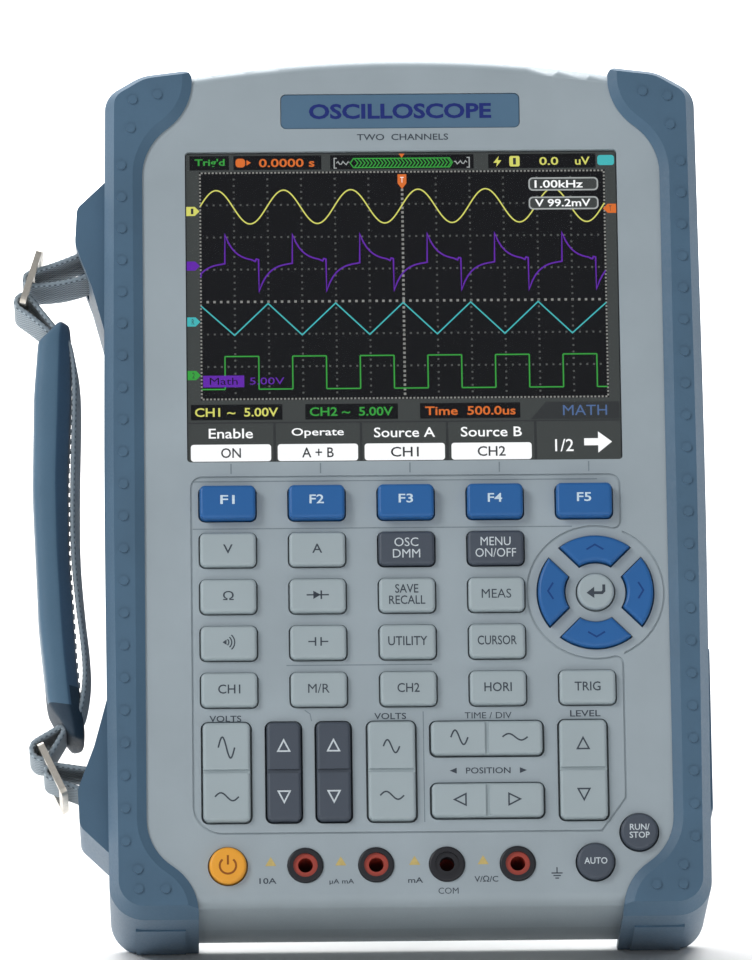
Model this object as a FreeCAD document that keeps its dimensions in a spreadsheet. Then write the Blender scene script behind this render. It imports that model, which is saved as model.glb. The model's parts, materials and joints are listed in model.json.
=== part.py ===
import FreeCAD, Part
import math
import os

import Sketcher
from FreeCAD import Placement, Rotation, Vector

# A handheld two-channel oscilloscope and multimeter that leans back on its own stand.
#
# Every piece is drawn in the frame of the instrument itself: X runs to its right, Y from its
# front face to its back, and Z up along the front face, with zero at the middle of that face.
# The last step leans all of them back together and sets them on the ground, with the origin
# under the middle of the whole.  Lengths are in millimetres and angles in degrees.

DIMENSIONS = {
    # casing
    "case_half_width": 77.0,
    "case_top": 120.0,
    "case_bottom": -118.5,
    "crown_radius": 360.0,
    "case_depth": 48.0,
    "parting_depth": 28.0,
    "wall": 2.4,
    "case_corner": 9.0,
    "front_edge_radius": 3.2,
    "back_edge_radius": 5.0,
    "boss_x": 66.4,
    "boss_radius": 3.0,
    "boss_top": 84.0,
    "boss_middle": -10.0,
    "boss_bottom": -90.0,
    "screw_radius": 1.25,
    "screw_head_radius": 2.6,
    "screw_head_depth": 2.0,
    "screw_length": 16.0,
    # display
    "window_width": 118.0,
    "window_height": 88.0,
    "window_centre": 49.3,
    "window_sink": 0.4,
    "window_thick": 0.8,
    "panel_width": 126.5,
    "panel_height": 100.0,
    "panel_front": 3.6,
    "panel_thick": 6.0,
    "plate_width": 65.4,
    "plate_height": 9.8,
    "plate_centre": 104.8,
    "plate_sink": 0.2,
    # keys
    "column_pitch": 24.15,
    "row_pitch": 13.03,
    "soft_row": -6.7,
    "first_row": -19.7,
    "key_width": 15.1,
    "key_height": 9.3,
    "key_corner": 1.5,
    "key_edge": 0.9,
    "key_proud": 1.9,
    "soft_key_proud": 3.2,
    "key_gap": 0.4,
    "key_travel": 1.0,
    "flange_front": 2.9,
    "flange_thick": 1.3,
    "flange_step": 0.9,
    "rocker_row": -81.6,
    "rocker_width": 12.7,
    "rocker_height": 27.3,
    "narrow_rocker": 9.1,
    "long_rocker": 30.0,
    "long_rocker_height": 9.2,
    "rocker_gap": 0.55,
    "rocker_proud": 1.8,
    "rocker_flange_front": 3.7,
    "rocker_pivot": 4.4,
    "rocker_slot": 1.1,
    "rocker_slot_depth": 0.6,
    "round_key_radius": 5.0,
    "pad_x": 51.0,
    "pad_z": -32.2,
    "pad_outer": 15.6,
    "pad_inner": 8.5,
    "pad_bar": 4.4,
    "pad_proud": 2.0,
    "pad_bite": 18.3,
    # grooves round the key field
    "field_half_width": 58.4,
    "field_top": 1.2,
    "field_bottom": -98.7,
    "groove_width": 0.55,
    "groove_depth": 0.4,
    # measuring sockets
    "jack_row": -107.3,
    "jack_pitch": 19.0,
    "jack_radius": 4.8,
    "jack_throat": 3.3,
    "jack_bore": 2.0,
    "jack_proud": 0.7,
    "jack_length": 21.0,
    "jack_bore_length": 18.0,
    "insert_sink": 0.6,
    # electronics
    "mat_front": 6.0,
    "mat_thick": 1.2,
    "board_front": 12.5,
    "board_thick": 1.6,
    "board_half_width": 62.5,
    "board_top": 100.0,
    "board_bottom": -114.0,
    "battery_width": 78.0,
    "battery_height": 58.0,
    "battery_thick": 20.0,
    "battery_centre": 53.0,
    "battery_back": 42.6,
    # coaxial sockets and their bay in the top edge
    "bay_half_width": 50.0,
    "bay_floor": 104.2,
    "bay_front": 30.4,
    "coax_pitch": 31.0,
    "coax_depth": 38.0,
    "coax_radius": 4.8,
    "coax_bore": 3.5,
    "coax_height": 13.8,
    "coax_lip": 3.6,
    "coax_tail": 8.0,
    # battery door
    "door_half_width": 45.5,
    "door_bottom": 15.5,
    "door_top": 92.5,
    "door_gap": 0.25,
    "door_screw_x": 36.0,
    "door_screw_z": 88.3,
    # bumpers
    "bumper_half_width": 81.8,
    "bumper_end_half_width": 80.9,
    "bumper_shoulder_x": 70.8,
    "bumper_shoulder_z": 116.6,
    "bumper_cheek_z": 110.6,
    "bumper_peak": 125.3,
    "bumper_bottom": -121.0,
    "bumper_front": -1.8,
    "bumper_back": 50.0,
    "bumper_corner": 9.5,
    "grip_inner": 70.8,
    "claw_inner": 57.0,
    "top_claw_outer_z": 94.7,
    "top_claw_inner_z": 105.3,
    "top_claw_radius": 17.0,
    "claw_tip_z": 113.2,
    "claw_tip_slant": 6.0,
    "bottom_claw_outer_z": -102.6,
    "bottom_claw_inner_z": -112.0,
    "bottom_claw_radius": 15.5,
    "rim_width": 2.6,
    "rim_height": 1.3,
    "shoulder_width": 6.0,
    "shoulder_depth": 2.6,
    "bumper_back_chamfer": 2.4,
    "stud_radius": 1.25,
    "stud_rise": 0.45,
    "stud_pitch": 9.04,
    "stud_x": 76.5,
    "stud_first_z": 89.2,
    "foot_left": 60.5,
    "foot_right": 74.0,
    "foot_front": 16.0,
    "foot_bottom": -121.5,
    "facet_front": 44.0,
    # strap lugs in the left bumper
    "lug_front": 10.0,
    "lug_back": 38.0,
    "lug_reach": -89.4,
    "lug_bar_x": -84.4,
    "upper_bar_z": 67.0,
    "lower_bar_z": -80.0,
    "lug_bar_radius": 2.4,
    "mouth_front": 14.3,
    "mouth_back": 33.7,
    "mouth_half_height": 6.4,
    # strap
    "strap_front": 15.0,
    "strap_width": 18.0,
    "strap_thick": 1.4,
    "loop_thick": 1.2,
    "strap_slack": 0.3,
    "slider_bar_radius": 0.9,
    "slider_length": 16.0,
    "slider_width": 24.0,
    "slider_thick": 1.7,
    "slider_bar": 2.2,
    "upper_slider_x": -101.4,
    "upper_slider_z": 62.2,
    "upper_slider_lean": 17.8,
    "lower_slider_x": -96.2,
    "lower_slider_z": -76.8,
    "lower_slider_lean": -25.3,
    "hand_grip_front": 11.0,
    "hand_grip_width": 26.0,
    "hand_grip_bevel": 3.6,
    "hand_grip_edge": 1.4,
    # side port door
    "port_top": -44.0,
    "port_bottom": -90.0,
    "port_front": 13.0,
    "port_back": 37.0,
    "port_gap": 0.35,
    "port_proud": 0.5,
    # stand
    "lean": 25.0,
    "stand_opening": 38.0,
    "stand_pivot_y": 45.2,
    "stand_pivot_z": 2.0,
    "stand_half_width": 45.2,
    "stand_foot_half_width": 40.0,
    "stand_thick": 4.4,
    "stand_pin_radius": 1.6,
    "stand_pin_gap": 0.08,
    "recess_half_width": 46.0,
    "recess_top": 7.0,
    "recess_bottom": -113.5,
    "recess_floor": 42.4,
}

doc = FreeCAD.newDocument("oscilloscope")
sheet = doc.addObject("Spreadsheet::Sheet", "dims")
for line, (alias, value) in enumerate(DIMENSIONS.items(), start=1):
    sheet.set(f"A{line}", alias)
    sheet.set(f"B{line}", str(value))
    sheet.setAlias(f"B{line}", alias)
doc.recompute()


def size(alias):
    """The value of one cell of the sheet."""
    return float(getattr(sheet, alias))


# ---------------------------------------------------------------- drawing helpers

FRONTWARD, REARWARD = False, True
pieces = {}


def new_body(label):
    """A body for one piece, kept under its label."""
    body = doc.addObject("PartDesign::Body", label)
    body.Label = label
    pieces[label] = body
    return body


def keep_feature(label, shape):
    """A piece whose shape comes from Part's own functions."""
    feature = doc.addObject("Part::Feature", label)
    feature.Label = label
    feature.Shape = shape
    pieces[label] = feature
    return feature


def plane(body, role):
    """One of a body's own origin planes."""
    return next(p for p in body.Origin.OriginFeatures if p.Role == role)


def face_sketch(body, depth, geometry):
    """A sketch parallel to the front face, depth behind it: its axes are X and Z."""
    sketch = body.newObject("Sketcher::SketchObject", "Sketch")
    sketch.AttachmentSupport = [(plane(body, "XZ_Plane"), "")]
    sketch.MapMode = "FlatFace"
    sketch.AttachmentOffset = Placement(Vector(0, 0, -depth), Rotation())
    sketch.addGeometry(geometry, False)
    return sketch


def side_sketch(body, x, geometry):
    """A sketch seen from the right, at x: its axes are Y and Z."""
    sketch = body.newObject("Sketcher::SketchObject", "Sketch")
    sketch.AttachmentSupport = [(plane(body, "YZ_Plane"), "")]
    sketch.MapMode = "FlatFace"
    sketch.AttachmentOffset = Placement(Vector(0, 0, x), Rotation())
    sketch.addGeometry(geometry, False)
    return sketch


def top_sketch(body, height, geometry):
    """A sketch seen from above, at a height: its axes are X and Y."""
    sketch = body.newObject("Sketcher::SketchObject", "Sketch")
    sketch.AttachmentSupport = [(plane(body, "XY_Plane"), "")]
    sketch.MapMode = "FlatFace"
    sketch.AttachmentOffset = Placement(Vector(0, 0, height), Rotation())
    sketch.addGeometry(geometry, False)
    return sketch


def extrude(body, kind, sketch, length, reversed_):
    """A pad or pocket whose length is a number or an expression on the sheet."""
    feature = body.newObject(kind, kind.split("::")[1])
    feature.Profile = sketch
    feature.Reversed = reversed_
    if isinstance(length, str):
        feature.setExpression("Length", length)
    else:
        feature.Length = length
    doc.recompute()
    return feature


def pad(body, sketch, length, reversed_=REARWARD):
    return extrude(body, "PartDesign::Pad", sketch, length, reversed_)


def pocket(body, sketch, length, reversed_=False):
    """A pocket, checked to have removed material.  Seen from the front it cuts rearward."""
    before = body.Shape.Volume
    feature = extrude(body, "PartDesign::Pocket", sketch, length, reversed_)
    if not body.Shape.Volume < before - 1e-3:
        raise RuntimeError(f"a pocket in {body.Label} removed nothing")
    return feature


def dress(body, kind, chosen, **settings):
    """A fillet or chamfer on the edges of the body's tip for which chosen(edge) holds."""
    base = body.Tip
    names = [f"Edge{i}" for i, e in enumerate(base.Shape.Edges, start=1) if chosen(e)]
    if not names:
        raise RuntimeError(f"no edge to dress in {body.Label}")
    feature = body.newObject(kind, kind.split("::")[1])
    feature.Base = (base, names)
    for name, value in settings.items():
        if isinstance(value, str) and value.startswith("dims."):
            feature.setExpression(name, value)
        else:
            setattr(feature, name, value)
    doc.recompute()
    return feature


def fillet(body, radius, chosen):
    return dress(body, "PartDesign::Fillet", chosen, Radius=radius)


def bevel(body, first, second, chosen, flip=False):
    return dress(
        body, "PartDesign::Chamfer", chosen,
        ChamferType="Two distances", Size=first, Size2=second, FlipDirection=flip,
    )


def in_plane(edge, axis, value, slack=1e-3):
    """True where the whole edge lies at one value of an axis, 0 for X, 1 for Y or 2 for Z."""
    box = edge.BoundBox
    low = (box.XMin, box.YMin, box.ZMin)[axis]
    high = (box.XMax, box.YMax, box.ZMax)[axis]
    return abs(low - value) < slack and abs(high - value) < slack


def along_depth(edge):
    """True for a straight edge that runs from front to back."""
    box = edge.BoundBox
    return box.YLength > 0.5 and box.XLength < 1e-3 and box.ZLength < 1e-3


def line(a, b):
    return Part.LineSegment(Vector(*a, 0), Vector(*b, 0))


def arc(a, through, b):
    return Part.Arc(Vector(*a, 0), Vector(*through, 0), Vector(*b, 0))


def circle(x, z, radius):
    return Part.Circle(Vector(x, z, 0), Vector(0, 0, 1), radius)


def rounded(corners):
    """A closed outline of straight runs whose corners, given as (x, z, radius), are arcs."""
    items = []
    ends = []
    for i, (x, z, radius) in enumerate(corners):
        here = Vector(x, z, 0)
        before = Vector(*corners[i - 1][:2], 0) - here
        after = Vector(*corners[(i + 1) % len(corners)][:2], 0) - here
        turn = before.getAngle(after)
        if radius == 0:
            ends.append((here, here, None))
            continue
        reach = radius / math.tan(turn / 2)
        start = here + before.normalize() * reach
        stop = here + after.normalize() * reach
        centre = here + (before + after).normalize() * (radius / math.sin(turn / 2))
        middle = centre + (here - centre).normalize() * radius
        ends.append((start, stop, middle))
    for i, (start, stop, middle) in enumerate(ends):
        if middle is not None:
            items.append(Part.Arc(start, middle, stop))
        following = ends[(i + 1) % len(ends)][0]
        if (following - stop).Length > 1e-6:
            items.append(Part.LineSegment(stop, following))
    return items


def rectangle(x, z, width, height, radius=0):
    """An upright rectangle about its centre."""
    w, h = width / 2, height / 2
    corners = [(x - w, z - h), (x + w, z - h), (x + w, z + h), (x - w, z + h)]
    return rounded([(*corner, radius) for corner in corners])


def span(left, right, bottom, top, radius=0):
    """An upright rectangle between its sides."""
    return rectangle((left + right) / 2, (bottom + top) / 2, right - left, top - bottom, radius)


def sized_rectangle(sketch, width, height):
    """Adds a rectangle about the sketch's origin, its two sizes bound to cells."""
    w, h = size(width) / 2, size(height) / 2
    first = sketch.GeometryCount
    corners = [(-w, -h), (w, -h), (w, h), (-w, h)]
    for i in range(4):
        sketch.addGeometry(line(corners[i], corners[(i + 1) % 4]), False)
    for i in range(4):
        sketch.addConstraint(
            Sketcher.Constraint("Coincident", first + i, 2, first + (i + 1) % 4, 1))
    for i, kind in enumerate(("Horizontal", "Vertical", "Horizontal", "Vertical")):
        sketch.addConstraint(Sketcher.Constraint(kind, first + i))
    sketch.addConstraint(Sketcher.Constraint("Symmetric", first, 1, first + 1, 2, -1, 1))
    for kind, edge, alias in (("DistanceX", 0, width), ("DistanceY", 1, height)):
        index = sketch.addConstraint(
            Sketcher.Constraint(kind, first + edge, 1, first + edge, 2, size(alias)))
        sketch.setExpression(f"Constraints[{index}]", f"dims.{alias}")


# ---------------------------------------------------------------- keys

def column(number):
    """The x of one of the five key columns, 0 at the left."""
    return (number - 2) * size("column_pitch")


def row(number):
    """The z of one of the four rows of plain keys, 0 at the top."""
    return size("first_row") - number * size("row_pitch")


SOFT_KEYS = [(f"key_f{i + 1}", column(i), size("soft_row")) for i in range(5)]
PLAIN_KEYS = [
    ("key_volts", column(0), row(0)),
    ("key_amps", column(1), row(0)),
    ("key_scope_meter", column(2), row(0)),
    ("key_menu", column(3), row(0)),
    ("key_ohms", column(0), row(1)),
    ("key_diode", column(1), row(1)),
    ("key_save_recall", column(2), row(1)),
    ("key_measure", column(3), row(1)),
    ("key_continuity", column(0), row(2)),
    ("key_capacitance", column(1), row(2)),
    ("key_utility", column(2), row(2)),
    ("key_cursor", column(3), row(2)),
    ("key_channel_1", column(0), row(3)),
    ("key_math_reference", column(1), row(3)),
    ("key_channel_2", column(2), row(3)),
    ("key_horizontal", column(3), row(3)),
    ("key_trigger", column(4), row(3)),
]
# Each rocker tips about the middle of its length: (name, x, z, width, height).
ROCKERS = [
    ("rocker_volts_1", -49.2, size("rocker_row"), "rocker_width", "rocker_height"),
    ("rocker_position_1", -33.8, size("rocker_row"), "narrow_rocker", "rocker_height"),
    ("rocker_position_2", -20.4, size("rocker_row"), "narrow_rocker", "rocker_height"),
    ("rocker_volts_2", -4.8, size("rocker_row"), "rocker_width", "rocker_height"),
    ("rocker_time", 20.9, -72.7, "long_rocker", "long_rocker_height"),
    ("rocker_shift", 20.9, -89.9, "long_rocker", "long_rocker_height"),
    ("rocker_level", 46.8, size("rocker_row"), "rocker_width", "rocker_height"),
]
ROUND_KEYS = [
    ("key_power", -49.1, -107.4),
    ("key_auto", 49.6, -107.1),
    ("key_run_stop", 61.5, -99.0),
]
ARROWS = [("key_up", 0), ("key_left", 90), ("key_down", 180), ("key_right", 270)]

places = {}


def make_rectangular_key(name, x, z, proud):
    body = new_body(name)
    cap = face_sketch(body, -size(proud), [])
    sized_rectangle(cap, "key_width", "key_height")
    pad(body, cap, f"dims.{proud} + dims.flange_front")
    fillet(body, "dims.key_corner", along_depth)
    step = 2 * size("flange_step")
    flange = rectangle(0, 0, size("key_width") + step, size("key_height") + step, size("key_corner"))
    pad(body, face_sketch(body, size("flange_front"), flange), "dims.flange_thick")
    fillet(body, "dims.key_edge", lambda e: in_plane(e, 1, -size(proud)))
    places[name] = (x, z)


def make_rocker(name, x, z, width, height):
    body = new_body(name)
    cap = face_sketch(body, -size("rocker_proud"), [])
    sized_rectangle(cap, width, height)
    pad(body, cap, "dims.rocker_proud + dims.rocker_flange_front")
    fillet(body, "dims.key_corner", along_depth)
    step = 2 * size("flange_step")
    flange = rectangle(0, 0, size(width) + step, size(height) + step, size("key_corner"))
    pad(body, face_sketch(body, size("rocker_flange_front"), flange), "dims.flange_thick")
    fillet(body, "dims.key_edge", lambda e: in_plane(e, 1, -size("rocker_proud")))
    tall = size(height) > size(width)
    across = (size(width) + 1, size("rocker_slot")) if tall else (size("rocker_slot"), size(height) + 1)
    slot = rectangle(0, 0, *across)
    pocket(body, face_sketch(body, -size("rocker_proud"), slot), "dims.rocker_slot_depth")
    places[name] = (x, z)


def make_round_key(name, x, z):
    body = new_body(name)
    cap = face_sketch(body, -size("key_proud"), [circle(0, 0, size("round_key_radius"))])
    index = cap.addConstraint(Sketcher.Constraint("Radius", 0, size("round_key_radius")))
    cap.setExpression(f"Constraints[{index}]", "dims.round_key_radius")
    pad(body, cap, "dims.key_proud + dims.flange_front")
    flange = [circle(0, 0, size("round_key_radius") + size("flange_step"))]
    pad(body, face_sketch(body, size("flange_front"), flange), "dims.flange_thick")
    fillet(body, "dims.key_edge", lambda e: in_plane(e, 1, -size("key_proud")))
    places[name] = (x, z)


def arrow_outline(grow):
    """One of the four arrow keys, the upper one, about the pad's centre and grown by grow."""
    outer = size("pad_outer") + grow
    inner = size("pad_inner") - grow
    offset = size("pad_bar") / math.sqrt(2) - grow * math.sqrt(2)

    def corner(radius):
        """Where a diagonal side, z = x + offset, meets a circle."""
        x = (-offset + math.sqrt(2 * radius**2 - offset**2)) / 2
        return x, x + offset

    far, near = corner(outer), corner(inner)
    return [
        arc((far[0], far[1]), (0, outer), (-far[0], far[1])),
        line((-far[0], far[1]), (-near[0], near[1])),
        arc((-near[0], near[1]), (0, inner), (near[0], near[1])),
        line((near[0], near[1]), (far[0], far[1])),
    ]


def make_arrow_key(name, turn):
    body = new_body(name)
    pad(body, face_sketch(body, -size("pad_proud"), arrow_outline(0)), "dims.pad_proud + dims.flange_front")
    pad(body, face_sketch(body, size("flange_front"), arrow_outline(0.6)), "dims.flange_thick")
    fillet(body, "dims.key_edge", lambda e: in_plane(e, 1, -size("pad_proud")))
    places[name] = (size("pad_x"), size("pad_z"), turn)


for name, x, z in SOFT_KEYS:
    make_rectangular_key(name, x, z, "soft_key_proud")
for name, x, z in PLAIN_KEYS:
    make_rectangular_key(name, x, z, "key_proud")
for rocker in ROCKERS:
    make_rocker(*rocker)
for name, x, z in ROUND_KEYS:
    make_round_key(name, x, z)
make_round_key("key_enter", size("pad_x"), size("pad_z"))
for name, turn in ARROWS:
    make_arrow_key(name, turn)


# ---------------------------------------------------------------- casing

def case_outline(inset=0.0):
    """The casing seen from the front: straight sides and foot under an arched top."""
    half = size("case_half_width") - inset
    bottom = size("case_bottom") + inset
    corner = max(size("case_corner") - inset, 3.0)
    crown = size("crown_radius") - inset
    crown_z = size("case_top") - size("crown_radius")
    corner_z = crown_z + math.sqrt((crown - corner) ** 2 - (half - corner) ** 2)
    reach = Vector(half - corner, corner_z - crown_z, 0).normalize()
    join = (reach.x * crown, crown_z + reach.y * crown)
    between = (reach + Vector(1, 0, 0)).normalize()
    middle = (half - corner + between.x * corner, corner_z + between.y * corner)
    low = corner * (1 - math.sqrt(0.5))
    return [
        line((-half + corner, bottom), (half - corner, bottom)),
        arc((half - corner, bottom), (half - low, bottom + low), (half, bottom + corner)),
        line((half, bottom + corner), (half, corner_z)),
        arc((half, corner_z), middle, join),
        arc(join, (0, crown_z + crown), (-join[0], join[1])),
        arc((-join[0], join[1]), (-middle[0], middle[1]), (-half, corner_z)),
        line((-half, corner_z), (-half, bottom + corner)),
        arc((-half, bottom + corner), (-half + low, bottom + low), (-half + corner, bottom)),
    ]


def crown_height(x, inset=0.0):
    """The height of the arched top at x."""
    crown = size("crown_radius") - inset
    return size("case_top") - size("crown_radius") + math.sqrt(crown**2 - x**2)


def turned(items, degrees, x, z):
    """Outline items turned about zero and then moved to (x, z)."""
    placement = Placement(Vector(x, z, 0), Rotation(Vector(0, 0, 1), degrees))
    copies = [item.copy() for item in items]
    for item in copies:
        item.transform(placement.toMatrix())
    return copies


def boss_places():
    return [(side * size("boss_x"), size(height))
            for side in (-1, 1) for height in ("boss_top", "boss_middle", "boss_bottom")]


def jack_places():
    return [(-28.3 + i * size("jack_pitch"), size("jack_row")) for i in range(4)]


def key_holes():
    """Every hole in the front cover through which a key stands."""
    gap = size("key_gap")
    holes = []
    for _, x, z in SOFT_KEYS + PLAIN_KEYS:
        holes += rectangle(x, z, size("key_width") + 2 * gap, size("key_height") + 2 * gap,
                           size("key_corner") + gap)
    for _, x, z, width, height in ROCKERS:
        play = size("rocker_gap")
        holes += rectangle(x, z, size(width) + 2 * play, size(height) + 2 * play,
                           size("key_corner") + play)
    for _, x, z in ROUND_KEYS + [("key_enter", size("pad_x"), size("pad_z"))]:
        holes.append(circle(x, z, size("round_key_radius") + gap))
    for _, turn in ARROWS:
        holes += turned(arrow_outline(gap), turn, size("pad_x"), size("pad_z"))
    return holes


def field_outline(inset):
    """The line round the key field: a bite for the arrow pad and one cut corner."""
    half = size("field_half_width") - inset
    top = size("field_top") - inset
    bottom = size("field_bottom") + inset
    bite = size("pad_bite") + inset
    x, z = size("pad_x"), size("pad_z")
    bend = 2.4 - inset
    reach = bite + bend
    drop = math.sqrt(reach**2 - (half - bend - x) ** 2)
    share = bite / reach
    touch = (x + (half - bend - x) * share, drop * share)
    outward = Vector(1 - (half - bend - x) / reach, -drop / reach, 0).normalize() * bend
    middle = (half - bend + outward.x, drop + outward.y)
    items = []
    for sign in (1, -1):
        items += [arc((half, z + sign * drop), (middle[0], z + sign * middle[1]),
                      (touch[0], z + sign * touch[1]))]
    corner, crown = 8.0 - inset, 3.2 - inset
    low, high = corner * (1 - math.sqrt(0.5)), crown * (1 - math.sqrt(0.5))
    cut = inset * 0.45
    return items + [
        line((-half + crown, top), (half - crown, top)),
        arc((half - crown, top), (half - high, top - high), (half, top - crown)),
        line((half, top - crown), (half, z + drop)),
        arc((touch[0], z + touch[1]), (x - bite, z), (touch[0], z - touch[1])),
        line((half, z - drop), (half, -89.5 + cut)),
        line((half, -89.5 + cut), (51.6 - cut, bottom)),
        line((51.6 - cut, bottom), (-half + corner, bottom)),
        arc((-half + corner, bottom), (-half + low, bottom + low), (-half, bottom + corner)),
        line((-half, bottom + corner), (-half, top - crown)),
        arc((-half, top - crown), (-half + high, top - high), (-half + crown, top)),
    ]


def pad_ring_outline():
    """The rest of the ring round the arrow pad, outside the key field."""
    x, z = size("pad_x"), size("pad_z")
    inner, outer = size("pad_bite"), size("pad_bite") + size("groove_width")
    reach = size("field_half_width") - x + 0.1
    high, low = math.sqrt(inner**2 - reach**2), math.sqrt(outer**2 - reach**2)
    return [
        arc((x + reach, z + high), (x + inner, z), (x + reach, z - high)),
        line((x + reach, z - high), (x + reach, z - low)),
        arc((x + reach, z - low), (x + outer, z), (x + reach, z + low)),
        line((x + reach, z + low), (x + reach, z + high)),
    ]


def make_front_cover():
    body = new_body("front_cover")
    wall = size("wall")
    pad(body, face_sketch(body, 0, case_outline()), "dims.parting_depth")
    fillet(body, "dims.front_edge_radius", lambda e: in_plane(e, 1, 0))
    pocket(body, face_sketch(body, wall, case_outline(wall)), "dims.parting_depth - dims.wall")
    posts = [circle(x, z, size("boss_radius")) for x, z in boss_places()]
    pad(body, face_sketch(body, wall / 2, posts), size("parting_depth") - wall / 2)
    pilots = [circle(x, z, size("screw_radius") + 0.02) for x, z in boss_places()]
    pocket(body, face_sketch(body, 19, pilots), 10)
    pocket(body, face_sketch(body, -1, key_holes()), wall + 3)
    holes = rectangle(0, size("window_centre"), size("window_width") + 0.2,
                      size("window_height") + 0.2, 1.0)
    holes += [circle(x, z, size("jack_radius") + 0.1) for x, z in jack_places()]
    pocket(body, face_sketch(body, -1, holes), wall + 3)
    recess = rectangle(0, size("plate_centre"), size("plate_width") + 0.2,
                       size("plate_height") + 0.2, 1.6)
    pocket(body, face_sketch(body, 0, recess), "dims.plate_sink + 1.05")
    grooves = field_outline(0) + field_outline(size("groove_width"))
    pocket(body, face_sketch(body, 0, grooves), "dims.groove_depth")
    pocket(body, face_sketch(body, 0, pad_ring_outline()), "dims.groove_depth")
    ports = [circle(20.5, -56.0, 4.6)] + rectangle(20.5, -77.0, 5.6, 12.4, 1.0)
    pocket(body, side_sketch(body, 80, ports), 8)


def rear_cavity(low_floor):
    """The hollow of the rear cover; low_floor keeps it clear of the recess for the stand."""
    wall = size("wall")
    half = size("case_half_width") - wall
    bay = size("bay_half_width") + wall
    bay_z = size("bay_floor") - wall
    bottom = size("case_bottom") + wall
    side = crown_height(half, wall)
    corners = []
    if low_floor:
        inner, top = size("recess_half_width") + wall, size("recess_top") + wall
        corners += [(-half, bottom, 6), (-inner, bottom, 0), (-inner, top, 0),
                    (inner, top, 0), (inner, bottom, 0), (half, bottom, 6)]
    else:
        corners += [(-half, bottom, 6), (half, bottom, 6)]
    corners += [(half, side, 6), (bay, crown_height(bay, wall), 0), (bay, bay_z, 0),
                (-bay, bay_z, 0), (-bay, crown_height(bay, wall), 0), (-half, side, 6)]
    return rounded(corners)


def make_rear_cover():
    body = new_body("rear_cover")
    wall, depth = size("wall"), size("case_depth")
    parting, floor = size("parting_depth"), size("recess_floor")
    pad(body, face_sketch(body, parting, case_outline()), "dims.case_depth - dims.parting_depth")
    fillet(body, "dims.back_edge_radius", lambda e: in_plane(e, 1, depth))
    bay = span(-size("bay_half_width"), size("bay_half_width"), size("bay_floor"), 130, 2.5)
    pocket(body, face_sketch(body, size("bay_front"), bay), 30)
    recess = span(-size("recess_half_width"), size("recess_half_width"),
                  size("recess_bottom"), size("recess_top"), 2.0)
    pocket(body, face_sketch(body, floor, recess), 20)
    pocket(body, face_sketch(body, parting, rear_cavity(False)), floor - wall - parting)
    pocket(body, face_sketch(body, floor - wall, rear_cavity(True)), depth - floor)
    posts = [circle(x, z, 4.4) for x, z in boss_places()]
    pad(body, face_sketch(body, parting, posts), depth - wall / 2 - parting)
    pocket(body, face_sketch(body, parting - 1, [circle(x, z, 1.4) for x, z in boss_places()]), 25)
    wells = [circle(x, z, size("screw_head_radius") + 0.2) for x, z in boss_places()]
    pocket(body, face_sketch(body, 36, wells), 20)
    door = span(-size("door_half_width"), size("door_half_width"),
                size("door_bottom"), size("door_top"), 2.0)
    pocket(body, face_sketch(body, depth - wall - 1, door), 20)
    screw_x, screw_z = size("door_screw_x"), size("door_screw_z")
    ledges = [i for s in (-1, 1) for i in rectangle(s * screw_x, screw_z + 1.4, 9.6, 10.0, 1.0)]
    pad(body, face_sketch(body, 42.4, ledges), 2.2)
    bridges = [i for s in (-1, 1) for i in span(s * screw_x - 4.8, s * screw_x + 4.8,
                                                size("door_top"), screw_z + 6.4)]
    pad(body, face_sketch(body, 44.0, bridges), 2.4)
    pad(body, face_sketch(body, 29.5, [circle(s * screw_x, screw_z, 3) for s in (-1, 1)]), 13.5)
    pilots = [circle(s * screw_x, screw_z, size("screw_radius") + 0.02) for s in (-1, 1)]
    pocket(body, face_sketch(body, 29.0, pilots), 20)
    sockets = [circle(x, size("coax_depth"), 4.1) for x in coax_places()]
    pocket(body, top_sketch(body, size("bay_floor") + 1, sockets), 5)
    trunnions = [circle(size("stand_pivot_y"), size("stand_pivot_z"),
                        size("stand_pin_radius") + size("stand_pin_gap"))]
    edge = size("recess_half_width") + wall + 1
    pocket(body, side_sketch(body, edge, trunnions), 2 * edge)


def coax_places():
    return [i * size("coax_pitch") for i in (-1, 0, 1)]



# ---------------------------------------------------------------- front face pieces

def make_name_plate():
    body = new_body("name_plate")
    outline = rectangle(0, size("plate_centre"), size("plate_width"), size("plate_height"), 1.5)
    pad(body, face_sketch(body, size("plate_sink"), outline), 1.0)
    fillet(body, 0.25, lambda e: in_plane(e, 1, size("plate_sink")))


def make_display_window():
    """A thin pane in the opening of the front cover, bonded to the display behind it."""
    body = new_body("display_window")
    pane = rectangle(0, size("window_centre"), size("window_width"), size("window_height"), 0.9)
    pad(body, face_sketch(body, size("window_sink"), pane), "dims.window_thick")


def make_display_module():
    body = new_body("display_module")
    module = face_sketch(body, size("panel_front"), [])
    sized_rectangle(module, "panel_width", "panel_height")
    module.AttachmentOffset = Placement(
        Vector(0, size("window_centre"), -size("panel_front")), Rotation())
    pad(body, module, "dims.panel_thick")
    start = size("window_sink") + size("window_thick") + 0.1
    panel = rectangle(0, size("window_centre"), size("window_width"), size("window_height"), 0.9)
    pad(body, face_sketch(body, start, panel), size("panel_front") - start + 0.5)


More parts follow.
